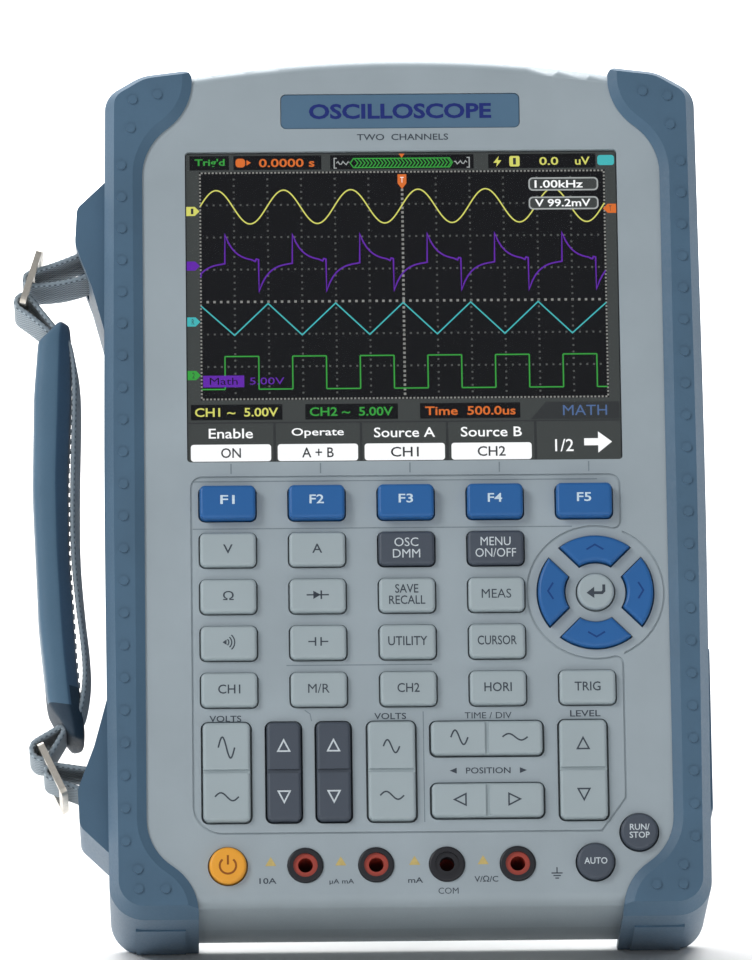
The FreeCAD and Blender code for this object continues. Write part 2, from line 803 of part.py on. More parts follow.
def make_keypad_mat():
    body = new_body("keypad_mat")
    front, thick = size("mat_front"), size("mat_thick")
    ear, low, top, notch = 69.3, -113.4, -1.5, 34.6
    outline = [(-61, low, 2), (-notch, low, 2), (-notch, -101, 2), (notch + 0.6, -101, 2),
               (notch + 0.6, low, 2), (61, low, 2), (61, -106, 1), (ear, -106, 2),
               (ear, -93.6, 2), (61, -93.6, 1), (61, -51, 2), (ear, -47, 3), (ear, -16, 3),
               (61, -13.5, 2), (61, top, 2), (-61, top, 2)]
    pad(body, face_sketch(body, front, rounded(outline)), "dims.mat_thick")
    spots = [(x, z) for _, x, z in SOFT_KEYS + PLAIN_KEYS + ROUND_KEYS]
    spots.append((size("pad_x"), size("pad_z")))
    for _, turn in ARROWS:
        angle = math.radians(turn + 90)
        spots.append((size("pad_x") + 12 * math.cos(angle), size("pad_z") + 12 * math.sin(angle)))
    nubs = [circle(x, z, 1.8) for x, z in spots]
    pad(body, face_sketch(body, front - 0.4, nubs), thick)


def make_jacks():
    """The four measuring sockets: black collars, each round an insert that holds the bore."""
    collars = new_body("jack_sockets")
    outer, throat = size("jack_radius"), size("jack_throat")
    front, length = -size("jack_proud"), size("jack_length")
    spots = jack_places()
    collars.AllowCompound = True
    pad(collars, face_sketch(collars, front, [circle(x, z, outer) for x, z in spots]), length)
    fillet(collars, 0.5, lambda e: in_plane(e, 1, front))
    throats = [circle(x, z, throat) for x, z in spots]
    pocket(collars, face_sketch(collars, front - 1, throats), length - 0.5)
    inserts = new_body("jack_inserts")
    inserts.AllowCompound = True
    start = front + size("insert_sink")
    rings = [circle(x, z, radius) for x, z in spots
             for radius in (throat - 0.02, size("jack_bore"))]
    pad(inserts, face_sketch(inserts, start, rings), "dims.jack_bore_length")


def make_screws():
    """The six screws that close the casing and the two that hold the battery door."""
    places_and_seats = [(x, z, 36.0) for x, z in boss_places()]
    places_and_seats += [(s * size("door_screw_x"), size("door_screw_z"), 46.0) for s in (-1, 1)]
    solids = []
    for x, z, seat in places_and_seats:
        shank = doc.addObject("Part::Cylinder", "Shank")
        shank.setExpression("Radius", "dims.screw_radius")
        shank.setExpression("Height", "dims.screw_length")
        shank.Placement = Placement(Vector(x, seat, z), Rotation(Vector(1, 0, 0), 90))
        head = doc.addObject("Part::Cylinder", "Head")
        head.setExpression("Radius", "dims.screw_head_radius")
        head.setExpression("Height", "dims.screw_head_depth")
        head.Placement = Placement(Vector(x, seat, z), Rotation(Vector(1, 0, 0), -90))
        drive = doc.addObject("Part::Prism", "Drive")
        drive.Polygon, drive.Circumradius, drive.Height = 6, 1.4, 3
        drive.Placement = Placement(Vector(x, seat + 0.9, z), Rotation(Vector(1, 0, 0), -90))
        screw = doc.addObject("Part::MultiFuse", "Screw")
        screw.Shapes = [shank, head]
        cut = doc.addObject("Part::Cut", "DrivenScrew")
        cut.Base, cut.Tool = screw, drive
        solids.append(cut)
    group = doc.addObject("Part::Compound", "cover_screws")
    group.Label = "cover_screws"
    group.Links = solids
    pieces["cover_screws"] = group


# ---------------------------------------------------------------- electronics

def make_main_board():
    body = new_body("main_board")
    front, thick = size("board_front"), size("board_thick")
    half = size("board_half_width")
    board = span(-half, half, size("board_bottom"), size("board_top"), 2.0)
    pad(body, face_sketch(body, front, board), "dims.board_thick")
    holes = [circle(x, z, size("jack_radius") + 0.2) for x, z in jack_places()]
    pocket(body, face_sketch(body, front - 1, holes), 5)
    shields = (span(-55, -12, -92, -30, 1.5) + span(-6, 30, -88, -40, 1.5)
               + span(-40, 40, 84, 99, 1.5) + span(-58, -44, 4, 60, 1.0))
    pad(body, face_sketch(body, front + thick - 0.1, shields), 6.0)
    connectors = span(56, 74.0, -62, -50, 0.8) + span(56, 74.0, -84, -70, 0.8)
    pad(body, face_sketch(body, front + thick - 0.1, connectors), 12.6)
    sockets = [circle(20.5, -56.0, 3.2)] + rectangle(20.5, -77.0, 4.6, 10.4, 0.6)
    pocket(body, side_sketch(body, 75, sockets), 11)


def make_battery():
    body = new_body("battery_pack")
    width, height, centre = (size(f"battery_{n}") for n in ("width", "height", "centre"))
    front = size("battery_back") - size("battery_thick")
    pad(body, face_sketch(body, front, rectangle(0, centre, width, height, 3)),
        "dims.battery_thick")
    fillet(body, 2.0, lambda e: in_plane(e, 1, front) or in_plane(e, 1, size("battery_back")))


def make_battery_door():
    body = new_body("battery_door")
    depth, gap = size("case_depth"), size("door_gap")
    half = size("door_half_width") - gap
    low, high = size("door_bottom") + gap, size("door_top") - gap
    pad(body, face_sketch(body, 46.4, span(-half, half, low, high, 1.8)), depth - 46.4)
    inner = rectangle(0, 48.0, 2 * half - 8, 56.0, 2.0)
    pad(body, face_sketch(body, 45.4, inner), 1.1)
    hooks = [i for s in (-1, 1) for i in span(s * 24 - 5, s * 24 + 5, low - 3, low + 8)]
    pad(body, face_sketch(body, 43.8, hooks), 1.7)
    stems = [i for s in (-1, 1) for i in span(s * 24 - 5, s * 24 + 5, low + 0.5, low + 8)]
    pad(body, face_sketch(body, 45.3, stems), 1.3)
    screw_x, screw_z = size("door_screw_x"), size("door_screw_z")
    bosses = [circle(s * screw_x, screw_z - 0.2, 3.7) for s in (-1, 1)]
    pad(body, face_sketch(body, 44.8, bosses), 2.0)
    through = [circle(s * screw_x, screw_z, 1.4) for s in (-1, 1)]
    pocket(body, face_sketch(body, 44, through), 8)
    wells = [circle(s * screw_x, screw_z, size("screw_head_radius") + 0.2) for s in (-1, 1)]
    pocket(body, face_sketch(body, 46.0, wells), 5)


def make_coaxial_sockets():
    """Three bayonet sockets that stand in the bay of the top edge."""
    body = new_body("coaxial_sockets")
    body.AllowCompound = True
    floor, depth, radius = size("bay_floor"), size("coax_depth"), size("coax_radius")
    spots = coax_places()
    collars = [circle(x, depth, 6.6) for x in spots]
    pad(body, top_sketch(body, floor + 0.05, collars), 2.0, FRONTWARD)
    pad(body, top_sketch(body, floor, [circle(x, depth, radius - 0.2) for x in spots]),
        "dims.coax_height", FRONTWARD)
    lip = floor + size("coax_height") - size("coax_lip")
    pad(body, top_sketch(body, lip, [circle(x, depth, radius) for x in spots]),
        "dims.coax_lip", FRONTWARD)
    necks = [circle(x, depth, 4.0) for x in spots]
    pad(body, top_sketch(body, floor - size("coax_tail"), necks), size("coax_tail") + 0.5, FRONTWARD)
    nuts = [i for x in spots for i in hexagon(x, depth, 6.0)]
    pad(body, top_sketch(body, floor - 4.8, nuts), 2.3, FRONTWARD)
    lugs = [i for x in spots for i in rectangle(x, depth, 11.2, 1.9)]
    pad(body, top_sketch(body, floor + 8.2, lugs), 1.9, FRONTWARD)
    hollow = [circle(x, depth, size("coax_bore")) for x in spots]
    pocket(body, top_sketch(body, floor + 20, hollow), 20 - 4.6)
    pins = [circle(x, depth, 1.1) for x in spots]
    pad(body, top_sketch(body, floor + 4.5, pins), 5.5, FRONTWARD)


def hexagon(x, z, across):
    corners = [(x + across * math.cos(math.radians(60 * i)),
                z + across * math.sin(math.radians(60 * i))) for i in range(6)]
    return [line(corners[i], corners[(i + 1) % 6]) for i in range(6)]


# ---------------------------------------------------------------- bumpers

def claw_outline(side):
    """What a bumper leaves open: the middle of the face and the whole other side."""
    inner, claw = side * size("grip_inner"), side * size("claw_inner")
    far = -side * 90
    return rounded([
        (far, -130, 0), (claw, -130, 0),
        (claw, size("bottom_claw_inner_z"), size("bottom_claw_radius")),
        (inner, size("bottom_claw_outer_z"), size("bottom_claw_radius")),
        (inner, size("top_claw_outer_z"), size("top_claw_radius")),
        (claw, size("top_claw_inner_z"), size("top_claw_radius")),
        (claw, 130, 0), (far, 130, 0),
    ])


def bumper_outline():
    """Both bumpers as one block: slightly bowed sides and a top that falls towards its corners."""
    half, end = size("bumper_half_width"), size("bumper_end_half_width")
    bottom, corner = size("bumper_bottom"), size("bumper_corner")
    shoulder = (size("bumper_shoulder_x"), size("bumper_shoulder_z"))
    return rounded([
        (-end, bottom, corner), (end, bottom, corner), (half, 0, 4000),
        (end, size("bumper_cheek_z"), 7), (*shoulder, 12), (0, size("bumper_peak"), 0),
        (-shoulder[0], shoulder[1], 12), (-end, size("bumper_cheek_z"), 7), (-half, 0, 4000),
    ])


def stud_places(side):
    """The raised grip dots down the front of a bumper."""
    spots = [(size("stud_x"), size("stud_first_z") - i * size("stud_pitch")) for i in range(22)]
    spots += [(73.3, 108.0), (73.9, 99.8), (66.5, 109.4)]
    spots += [(73.2, -108.4), (73.0, -113.8), (65.8, -113.8)]
    return [(side * x, z) for x, z in spots]


def start_bumper(label, side):
    body = new_body(label)
    front, back = size("bumper_front"), size("bumper_back")
    pad(body, face_sketch(body, front, bumper_outline()), back - front)
    bevel(body, "dims.shoulder_width", "dims.shoulder_depth", lambda e: in_plane(e, 1, front))
    dress(body, "PartDesign::Chamfer", lambda e: in_plane(e, 1, back),
          Size="dims.bumper_back_chamfer")
    pocket(body, face_sketch(body, front - 1, claw_outline(side)), back - front + 2)
    dress(body, "PartDesign::Chamfer",
          lambda e: in_plane(e, 1, front) and abs(e.BoundBox.Center.x) < size("grip_inner") + 0.1
          and abs(e.BoundBox.Center.z) < 112,
          ChamferType="Two distances", Size="dims.rim_width", Size2="dims.rim_height")
    tip, slant = size("claw_tip_z"), size("claw_tip_slant")
    near, wide = side * (size("claw_inner") - 1), side * (size("claw_inner") - 1 + slant)
    corner = rounded([(near, tip, 0), (wide, tip + 1.6 * slant, 0), (near, tip + 1.6 * slant, 0)])
    pocket(body, face_sketch(body, front - 1, corner), back - front + 2)
    foot = span(*sorted((side * size("foot_left"), side * size("foot_right"))),
                size("foot_bottom"), -118.7)
    pad(body, face_sketch(body, size("foot_front"), foot), back - size("foot_front"))
    pocket(body, face_sketch(body, -0.05, case_outline(-0.05)), size("case_depth") + 0.1)
    studs = [circle(x, z, size("stud_radius")) for x, z in stud_places(side)]
    pad(body, face_sketch(body, front - size("stud_rise"), studs), 1.4)
    return body


def finish_bumper(body):
    """Cuts the foot to the ground line of the leaning instrument."""
    slope = math.tan(math.radians(size("lean")))
    start, low = size("facet_front"), size("foot_bottom")
    wedge = [line((start, low), (start + 12, low + 12 * slope)),
             line((start + 12, low + 12 * slope), (start + 12, low - 8)),
             line((start + 12, low - 8), (start, low - 8)),
             line((start, low - 8), (start, low))]
    pocket(body, side_sketch(body, 90, wedge), 180)


def add_lug(body, bar_z, up):
    """A hollow lug with a cross bar, about the height of its bar; up is 1 or -1."""
    reach, front, back = size("lug_reach"), size("lug_front"), size("lug_back")
    outline = [(-79.0, bar_z + up * 22.4, 0), (-81.3, bar_z + up * 20.8, 2),
               (-88.8, bar_z + up * 13.6, 3.5), (reach, bar_z + up * 3.5, 6),
               (-84.9, bar_z - up * 8.6, 10), (-81.3, bar_z - up * 22.0, 0),
               (-79.0, bar_z - up * 22.4, 0)]
    pad(body, face_sketch(body, front, rounded(outline)), back - front)
    mouth_front, mouth_back = size("mouth_front"), size("mouth_back")
    half = size("mouth_half_height")
    mouth = span(-95, -79.25, bar_z - half, bar_z + half, 1.5)
    pocket(body, face_sketch(body, mouth_front, mouth), mouth_back - mouth_front)
    bar = [circle(size("lug_bar_x"), bar_z, size("lug_bar_radius"))]
    pad(body, face_sketch(body, mouth_front - 1, bar), mouth_back - mouth_front + 2)


def make_left_bumper():
    body = start_bumper("left_bumper", -1)
    add_lug(body, size("upper_bar_z"), 1)
    add_lug(body, size("lower_bar_z"), -1)
    finish_bumper(body)


def make_right_bumper():
    body = start_bumper("right_bumper", 1)
    recess = span(size("port_front"), size("port_back"), size("port_bottom"), size("port_top"), 2)
    inner = 79.3 - size("port_gap")
    pocket(body, side_sketch(body, 90, recess), 90 - inner)
    window = span(size("port_front") + 2, size("port_back") - 2,
                  size("port_bottom") + 2, size("port_top") - 2, 2)
    pocket(body, side_sketch(body, 90, window), 14)
    finish_bumper(body)


def make_port_door():
    body = new_body("port_door")
    gap = size("port_gap")
    outline = span(size("port_front") + gap, size("port_back") - gap,
                   size("port_bottom") + gap, size("port_top") - gap, 1.6)
    outer = size("bumper_half_width") + size("port_proud")
    pad(body, side_sketch(body, 79.3, outline), outer - 79.3, FRONTWARD)
    fillet(body, 0.4, lambda e: in_plane(e, 0, outer))


# ---------------------------------------------------------------- stand

def ground_height():
    """How far the ground is below the instrument's zero once it leans back."""
    lean = math.radians(size("lean"))
    return size("facet_front") * math.sin(lean) - size("foot_bottom") * math.cos(lean)


def stand_length():
    """From the pivot to the middle of the stand's rounded foot, which meets the ground."""
    lean = math.radians(size("lean"))
    opening = math.radians(size("stand_opening"))
    pivot = size("stand_pivot_z") * math.cos(lean) - size("stand_pivot_y") * math.sin(lean)
    drop = ground_height() + pivot - size("stand_thick") / 2
    return drop / math.cos(opening - lean)


def make_stand():
    """Drawn folded flat into the recess; its placement opens it."""
    body = new_body("stand")
    y, z = size("stand_pivot_y"), size("stand_pivot_z")
    half, foot_half, thick = (size(f"stand_{n}") for n in ("half_width", "foot_half_width", "thick"))
    foot = z - stand_length()
    slab = [line((y + thick / 2, z), (y + thick / 2, foot)),
            arc((y + thick / 2, foot), (y, foot - thick / 2), (y - thick / 2, foot)),
            line((y - thick / 2, foot), (y - thick / 2, z)),
            arc((y - thick / 2, z), (y, z + thick / 2), (y + thick / 2, z))]
    pad(body, side_sketch(body, -half, slab), 2 * half, FRONTWARD)
    heel = span(y, y + thick / 2, z - 1, z + 3.9)
    pad(body, side_sketch(body, -30, heel), 60, FRONTWARD)
    sides = []
    for s in (-1, 1):
        sides += [line((s * foot_half, foot - 9), (s * foot_half, foot + 4)),
                  line((s * foot_half, foot + 4), (s * (half + 0.01), z - 22)),
                  line((s * (half + 0.01), z - 22), (s * (half + 9), z - 22)),
                  line((s * (half + 9), z - 22), (s * (half + 9), foot - 9)),
                  line((s * (half + 9), foot - 9), (s * foot_half, foot - 9))]
    pocket(body, face_sketch(body, y - 10, sides), 20)
    window = rounded([(-26, foot + 24, 5), (26, foot + 24, 5), (31, z - 26, 5), (-31, z - 26, 5)])
    pocket(body, face_sketch(body, y - 10, window), 20)
    tab = rounded([(-12, foot + 3.0, 3), (12, foot + 3.0, 3), (12, foot + 11, 3), (-12, foot + 11, 3)])
    pocket(body, face_sketch(body, y + 0.9, tab), 5)
    trunnion = [circle(y, z, size("stand_pin_radius"))]
    reach = half + 3.0
    pad(body, side_sketch(body, -reach, trunnion), 2 * reach, FRONTWARD)


# ---------------------------------------------------------------- hand strap

def ribbon(points, thick):
    """The outline of a strip of webbing along a line of (x, z, bend radius) points."""
    def shifted(sign):
        corners = []
        for i, (x, z, radius) in enumerate(points):
            before = Vector(*points[max(i - 1, 0)][:2], 0)
            after = Vector(*points[min(i + 1, len(points) - 1)][:2], 0)
            here = Vector(x, z, 0)
            into = (here - before) if i else (after - here)
            out = (after - here) if i < len(points) - 1 else into
            into.normalize()
            out.normalize()
            mean = (into + out).normalize()
            normal = Vector(-mean.y, mean.x, 0) * sign
            spot = here + normal * (thick / 2 / max(mean.dot(into), 0.3))
            turn = sign * (into.x * out.y - into.y * out.x)
            bend = max(radius - thick / 2 if turn > 0 else radius + thick / 2, 0.1) if radius else 0
            corners.append((spot.x, spot.y, bend))
        return corners

    return rounded(shifted(1) + shifted(-1)[::-1])


def belt(first, first_radius, second, second_radius):
    """The outline of a belt laid round two circles, each centre an (x, z) pair."""
    one, two = Vector(*first, 0), Vector(*second, 0)
    along = two - one
    distance = along.Length
    along.normalize()
    lean = math.acos((first_radius - second_radius) / distance)

    def spoke(angle):
        return Vector(along.x * math.cos(angle) - along.y * math.sin(angle),
                      along.x * math.sin(angle) + along.y * math.cos(angle), 0)

    upper, lower = spoke(lean), spoke(-lean)
    a, b = one + upper * first_radius, one + lower * first_radius
    c, d = two + lower * second_radius, two + upper * second_radius
    return [
        Part.Arc(a, one - along * first_radius, b), Part.LineSegment(b, c),
        Part.Arc(c, two + along * second_radius, d), Part.LineSegment(d, a),
    ]


def slider_end(which, end):
    """The middle of an end bar of the upper or lower slider; end is 1 for the top bar."""
    lean = math.radians(size(f"{which}_slider_lean"))
    reach = end * (size("slider_length") - size("slider_bar")) / 2
    return (size(f"{which}_slider_x") + reach * math.sin(lean),
            size(f"{which}_slider_z") + reach * math.cos(lean))


def make_strap_loop(label, bar_z, which):
    body = new_body(label)
    slack, thick = size("strap_slack"), size("loop_thick")
    bar = (size("lug_bar_x"), bar_z)
    slider = (size(f"{which}_slider_x"), size(f"{which}_slider_z"))
    inner = (size("lug_bar_radius") + slack, size("slider_bar_radius") + slack)
    outline = belt(bar, inner[0] + thick, slider, inner[1] + thick)
    outline += belt(bar, inner[0], slider, inner[1])
    pad(body, face_sketch(body, size("strap_front"), outline), "dims.strap_width")


def make_slider(label, which):
    """A wire frame with a middle bar, drawn upright and then leant."""
    body = new_body(label)
    thick, length, width = (size(f"slider_{n}") for n in ("thick", "length", "width"))
    frame = rectangle(0, 0, width, length, 1.6)
    pad(body, side_sketch(body, -thick / 2, frame), "dims.slider_thick", FRONTWARD)
    opening = rectangle(0, 0, width - 4.4, length - 2 * size("slider_bar"), 0.8)
    pocket(body, side_sketch(body, thick, opening), 2 * thick)
    bar = [circle(0, 0, size("slider_bar_radius"))]
    pad(body, face_sketch(body, 1.2 - width / 2, bar), width - 2.4)
    middle = size("strap_front") + size("strap_width") / 2
    return body, Placement(
        Vector(size(f"{which}_slider_x"), middle, size(f"{which}_slider_z")),
        Rotation(Vector(0, 1, 0), size(f"{which}_slider_lean")))


def make_strap_lining():
    """The webbing that carries the pad, and the short tail that holds the lower slider."""
    body = new_body("strap_lining")
    body.AllowCompound = True
    front, width, thick = size("strap_front"), "dims.strap_width", size("strap_thick")
    hold, eye_x, eye_z = 1.45, *slider_end("upper", -1)
    strip = [(eye_x - 1.3, eye_z - 1.75, 0), (-97.0, 50.4, 4), (-90.2, 49.4, 3),
             (-89.2, 40.0, 20), (-89.5, 27.0, 40), (-90.6, 2.0, 60), (-90.5, -15.0, 60),
             (-87.0, -39.0, 40), (-86.2, -52.0, 12), (-87.6, -60.4, 0)]
    pad(body, face_sketch(body, front, ribbon(strip, thick)), width)
    pad(body, face_sketch(body, front, [circle(eye_x, eye_z, hold + thick)]), width)
    pocket(body, face_sketch(body, front - 1, [circle(eye_x, eye_z, hold)]), 40)
    loose, tail_x, tail_z = 2.1, *slider_end("lower", 1)
    tail = [(tail_x + 1.6, tail_z + 1.9, 0), (-94.6, -67.4, 0)]
    pad(body, face_sketch(body, front, ribbon(tail, thick)), width)
    pad(body, face_sketch(body, front, [circle(tail_x, tail_z, loose + thick)]), width)
    pocket(body, face_sketch(body, front - 1, [circle(tail_x, tail_z, loose)]), 40)


def make_hand_grip():
    """The palm pad: two long curved sides, blunt ends and a wide bevel next to the casing."""
    body = new_body("hand_grip")
    palm = [(-99.2, 44.6), (-100.6, 28.0), (-101.0, 2.0), (-99.6, -34.0), (-96.9, -60.0)]
    fingers = [(-88.0, -62.2), (-89.6, -44.0), (-91.3, -14.0), (-91.4, 6.0), (-90.4, 43.4)]
    sides = []
    for points in (palm, fingers):
        curve = Part.BSplineCurve()
        curve.interpolate([Vector(x, z, 0) for x, z in points])
        sides.append(curve)
    low_end = [palm[-1], (-94.9, -66.6), (-90.9, -69.4), fingers[0]]
    top_end = [fingers[-1], (-91.8, 48.6), (-95.6, 48.8), palm[0]]
    ends = [line(a, b) for end in (low_end, top_end) for a, b in zip(end, end[1:])]
    front, width = size("hand_grip_front"), size("hand_grip_width")
    pad(body, face_sketch(body, front, sides + ends), "dims.hand_grip_width")

    def long_edge(edge, inner):
        box = edge.BoundBox
        on_rim = in_plane(edge, 1, front) or in_plane(edge, 1, front + width)
        return on_rim and box.ZLength > 60 and (box.Center.x > -94) == inner

    dress(body, "PartDesign::Chamfer", lambda e: long_edge(e, True),
          Size="dims.hand_grip_bevel")
    dress(body, "PartDesign::Chamfer", lambda e: long_edge(e, False),
          Size="dims.hand_grip_edge")


make_front_cover()
make_rear_cover()
make_name_plate()
make_display_window()
make_display_module()
make_keypad_mat()
make_jacks()
make_screws()
make_main_board()
make_battery()
make_battery_door()
make_coaxial_sockets()
make_left_bumper()
make_right_bumper()
make_port_door()
make_stand()
make_strap_loop("upper_strap_loop", size("upper_bar_z"), "upper")
make_strap_loop("lower_strap_loop", size("lower_bar_z"), "lower")
upper_slider, upper_slider_place = make_slider("upper_slider", "upper")
lower_slider, lower_slider_place = make_slider("lower_slider", "lower")
make_strap_lining()
make_hand_grip()

# ---------------------------------------------------------------- placing and export

local_places = {label: Placement() for label in pieces}
for label, spot in places.items():
    turn = spot[2] if len(spot) > 2 else 0
    local_places[label] = Placement(Vector(spot[0], 0, spot[1]), Rotation(Vector(0, 1, 0), -turn))
local_places["upper_slider"] = upper_slider_place
local_places["lower_slider"] = lower_slider_place
pivot = Vector(0, size("stand_pivot_y"), size("stand_pivot_z"))
local_places["stand"] = Placement(
    Vector(), Rotation(Vector(1, 0, 0), size("stand_opening")), pivot)

lean_back = Placement(Vector(), Rotation(Vector(1, 0, 0), -size("lean")))
for label, piece in pieces.items():
    piece.Placement = lean_back * local_places[label]
doc.recompute()

boxes = [piece.Shape.optimalBoundingBox(False) for piece in pieces.values()]
centre_x = (min(b.XMin for b in boxes) + max(b.XMax for b in boxes)) / 2
centre_y = (min(b.YMin for b in boxes) + max(b.YMax for b in boxes)) / 2
to_origin = Placement(Vector(-centre_x, -centre_y, ground_height()), Rotation())
for piece in pieces.values():
    piece.Placement = to_origin * piece.Placement
doc.recompute()

for item in doc.Objects:
    if "Invalid" in item.State or "Error" in item.State:
        raise RuntimeError(f"{item.Label} did not recompute: {item.State}")
os.makedirs("parts", exist_ok=True)
for label, piece in pieces.items():
    shape = piece.Shape
    if shape.isNull() or not shape.isValid() or not shape.Solids:
        raise RuntimeError(f"{label} has no valid shape")
    shape.exportStep(f"parts/{label}.step")
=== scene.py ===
import json
import math
import random

import bpy
from mathutils import Matrix, Vector


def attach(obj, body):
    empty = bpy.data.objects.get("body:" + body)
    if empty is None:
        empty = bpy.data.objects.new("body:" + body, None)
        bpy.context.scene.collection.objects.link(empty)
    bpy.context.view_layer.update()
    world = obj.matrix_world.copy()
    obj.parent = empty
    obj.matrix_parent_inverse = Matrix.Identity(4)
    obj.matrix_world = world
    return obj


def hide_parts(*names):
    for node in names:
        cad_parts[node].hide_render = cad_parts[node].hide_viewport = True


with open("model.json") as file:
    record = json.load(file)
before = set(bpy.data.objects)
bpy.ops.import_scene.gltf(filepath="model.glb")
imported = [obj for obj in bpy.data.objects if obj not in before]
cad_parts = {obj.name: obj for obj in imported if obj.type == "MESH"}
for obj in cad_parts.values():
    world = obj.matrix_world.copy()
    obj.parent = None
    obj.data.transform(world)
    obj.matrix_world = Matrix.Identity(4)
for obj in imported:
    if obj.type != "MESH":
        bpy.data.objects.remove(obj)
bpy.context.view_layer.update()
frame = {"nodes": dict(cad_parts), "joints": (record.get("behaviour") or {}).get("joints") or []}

# A handheld oscilloscope that leans back on its stand.  Every piece is drawn in millimetres in the
# frame of the instrument's own face, X to its right, Y from front to back and Z up the face, and
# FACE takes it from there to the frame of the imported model.

JOINTS = {joint["name"]: joint for joint in frame["joints"]}
INWARD = Vector(JOINTS["key_power_press"]["axis"])
TURN = Matrix.Rotation(-math.atan2(-INWARD.z, INWARD.y), 4, "X")
HINGE = Vector(JOINTS["stand_hinge"]["pos_m"]) * 1000
STAND_PIVOT = Vector((0, 45.2, 2.0))  # the stand's hinge, in the face frame
ORIGIN = HINGE - TURN @ STAND_PIVOT
FACE = Matrix.Scale(0.001, 4) @ Matrix.Translation(ORIGIN) @ TURN
TO_FACE = FACE.inverted()
ROOT = "instrument"


# ---------------------------------------------------------------- materials

NOISE_LOW, NOISE_HIGH = 0.3, 0.7  # nearly all of a noise lies between these


def srgb(red, green, blue):
    """Linear values of an sRGB colour given from 0 to 255."""
    def channel(value):
        value /= 255
        return value / 12.92 if value <= 0.04045 else ((value + 0.055) / 1.055) ** 2.4
    return (channel(red), channel(green), channel(blue), 1.0)


def shaded(colour, factor):
    """A colour made darker or lighter by a factor."""
    return tuple(min(c * factor, 1.0) for c in colour[:3]) + (1.0,)


class Maker:
    """Node shorthand for one material."""

    def __init__(self, name):
        self.material = bpy.data.materials.new(name)
        self.material.use_nodes = True
        self.tree = self.material.node_tree
        self.shader = self.tree.nodes["Principled BSDF"]

    def node(self, kind, inputs=None, **settings):
        node = self.tree.nodes.new("ShaderNode" + kind)
        for key, value in settings.items():
            setattr(node, key, value)
        for key, value in (inputs or {}).items():
            if isinstance(value, bpy.types.NodeSocket):
                self.tree.links.new(value, node.inputs[key])
            else:
                node.inputs[key].default_value = value
        return node

    def link(self, socket, name):
        self.tree.links.new(socket, self.shader.inputs[name])

    def set(self, **values):
        for name, value in values.items():
            self.shader.inputs[name.replace("_", " ")].default_value = value

    def ramp(self, source, low, high, from_low=NOISE_LOW, from_high=NOISE_HIGH):
        """A colour that runs from low to high as source rises."""
        node = self.node("ValToRGB", {"Fac": source})
        node.color_ramp.elements[0].position = from_low
        node.color_ramp.elements[0].color = low
        node.color_ramp.elements[1].position = from_high
        node.color_ramp.elements[1].color = high
        return node.outputs["Color"]

    def grey(self, source, low, high):
        """A number that runs from low to high as source rises."""
        node = self.node("MapRange", {"Value": source, "To Min": low, "To Max": high,
                                      "From Min": NOISE_LOW, "From Max": NOISE_HIGH})
        return node.outputs["Result"]

    def noise(self, scale, detail=3.0, rough=0.55):
        """Noise in the piece's own space; scale is in cycles per metre."""
        where = self.node("TexCoord").outputs["Object"]
        node = self.node("TexNoise", {"Vector": where, "Scale": scale, "Detail": detail,
                                      "Roughness": rough})
        return node.outputs["Fac"]

    def bump(self, height, strength, distance):
        node = self.node("Bump", {"Height": height, "Strength": strength, "Distance": distance})
        self.link(node.outputs["Normal"], "Normal")


def plastic(name, colour, rough=0.5, grain=2200, depth=0.00004, mottle=0.05, sheen=0.0):
    """Moulded plastic or rubber: fine spark-eroded grain under a faintly uneven tone."""
    m = Maker(name)
    tone = m.noise(38, 4)
    m.link(m.ramp(tone, shaded(colour, 1 - mottle), shaded(colour, 1 + mottle)), "Base Color")
    grains = m.noise(grain, 2)
    m.link(m.grey(grains, rough - 0.06, rough + 0.08), "Roughness")
    m.bump(grains, 0.35, depth)
    m.set(Specular_IOR_Level=0.4, Sheen_Weight=sheen)
    return m.material


def flat_ink(name, colour):
    """Flat colour with a little unevenness: printed ink, and the painted shade along the cover's
    grooves.
    """
    m = Maker(name)
    tone = m.noise(900, 2)
    m.link(m.ramp(tone, shaded(colour, 0.93), shaded(colour, 1.07)), "Base Color")
    m.set(Roughness=0.6, Specular_IOR_Level=0.3)
    return m.material


def glow(name, colour, strength=1.0):
    """One lit colour of the display."""
    m = Maker(name)
    pixels = m.noise(5200, 1)
    m.link(m.ramp(pixels, shaded(colour, 0.9), shaded(colour, 1.05), 0.2, 0.8), "Emission Color")
    m.set(Base_Color=(0.004, 0.004, 0.005, 1), Roughness=0.35, Emission_Strength=strength,
          Specular_IOR_Level=0.2)
    return m.material


def metal(name, colour, rough):
    """Plated metal, duller where it is worn."""
    m = Maker(name)
    wear = m.noise(420, 5, 0.65)
    m.link(m.ramp(wear, shaded(colour, 0.82), shaded(colour, 1.1)), "Base Color")
    m.link(m.grey(wear, rough + 0.12, rough - 0.06), "Roughness")
    m.bump(m.noise(2600, 3), 0.15, 0.00003)
    m.set(Metallic=1.0)
    return m.material


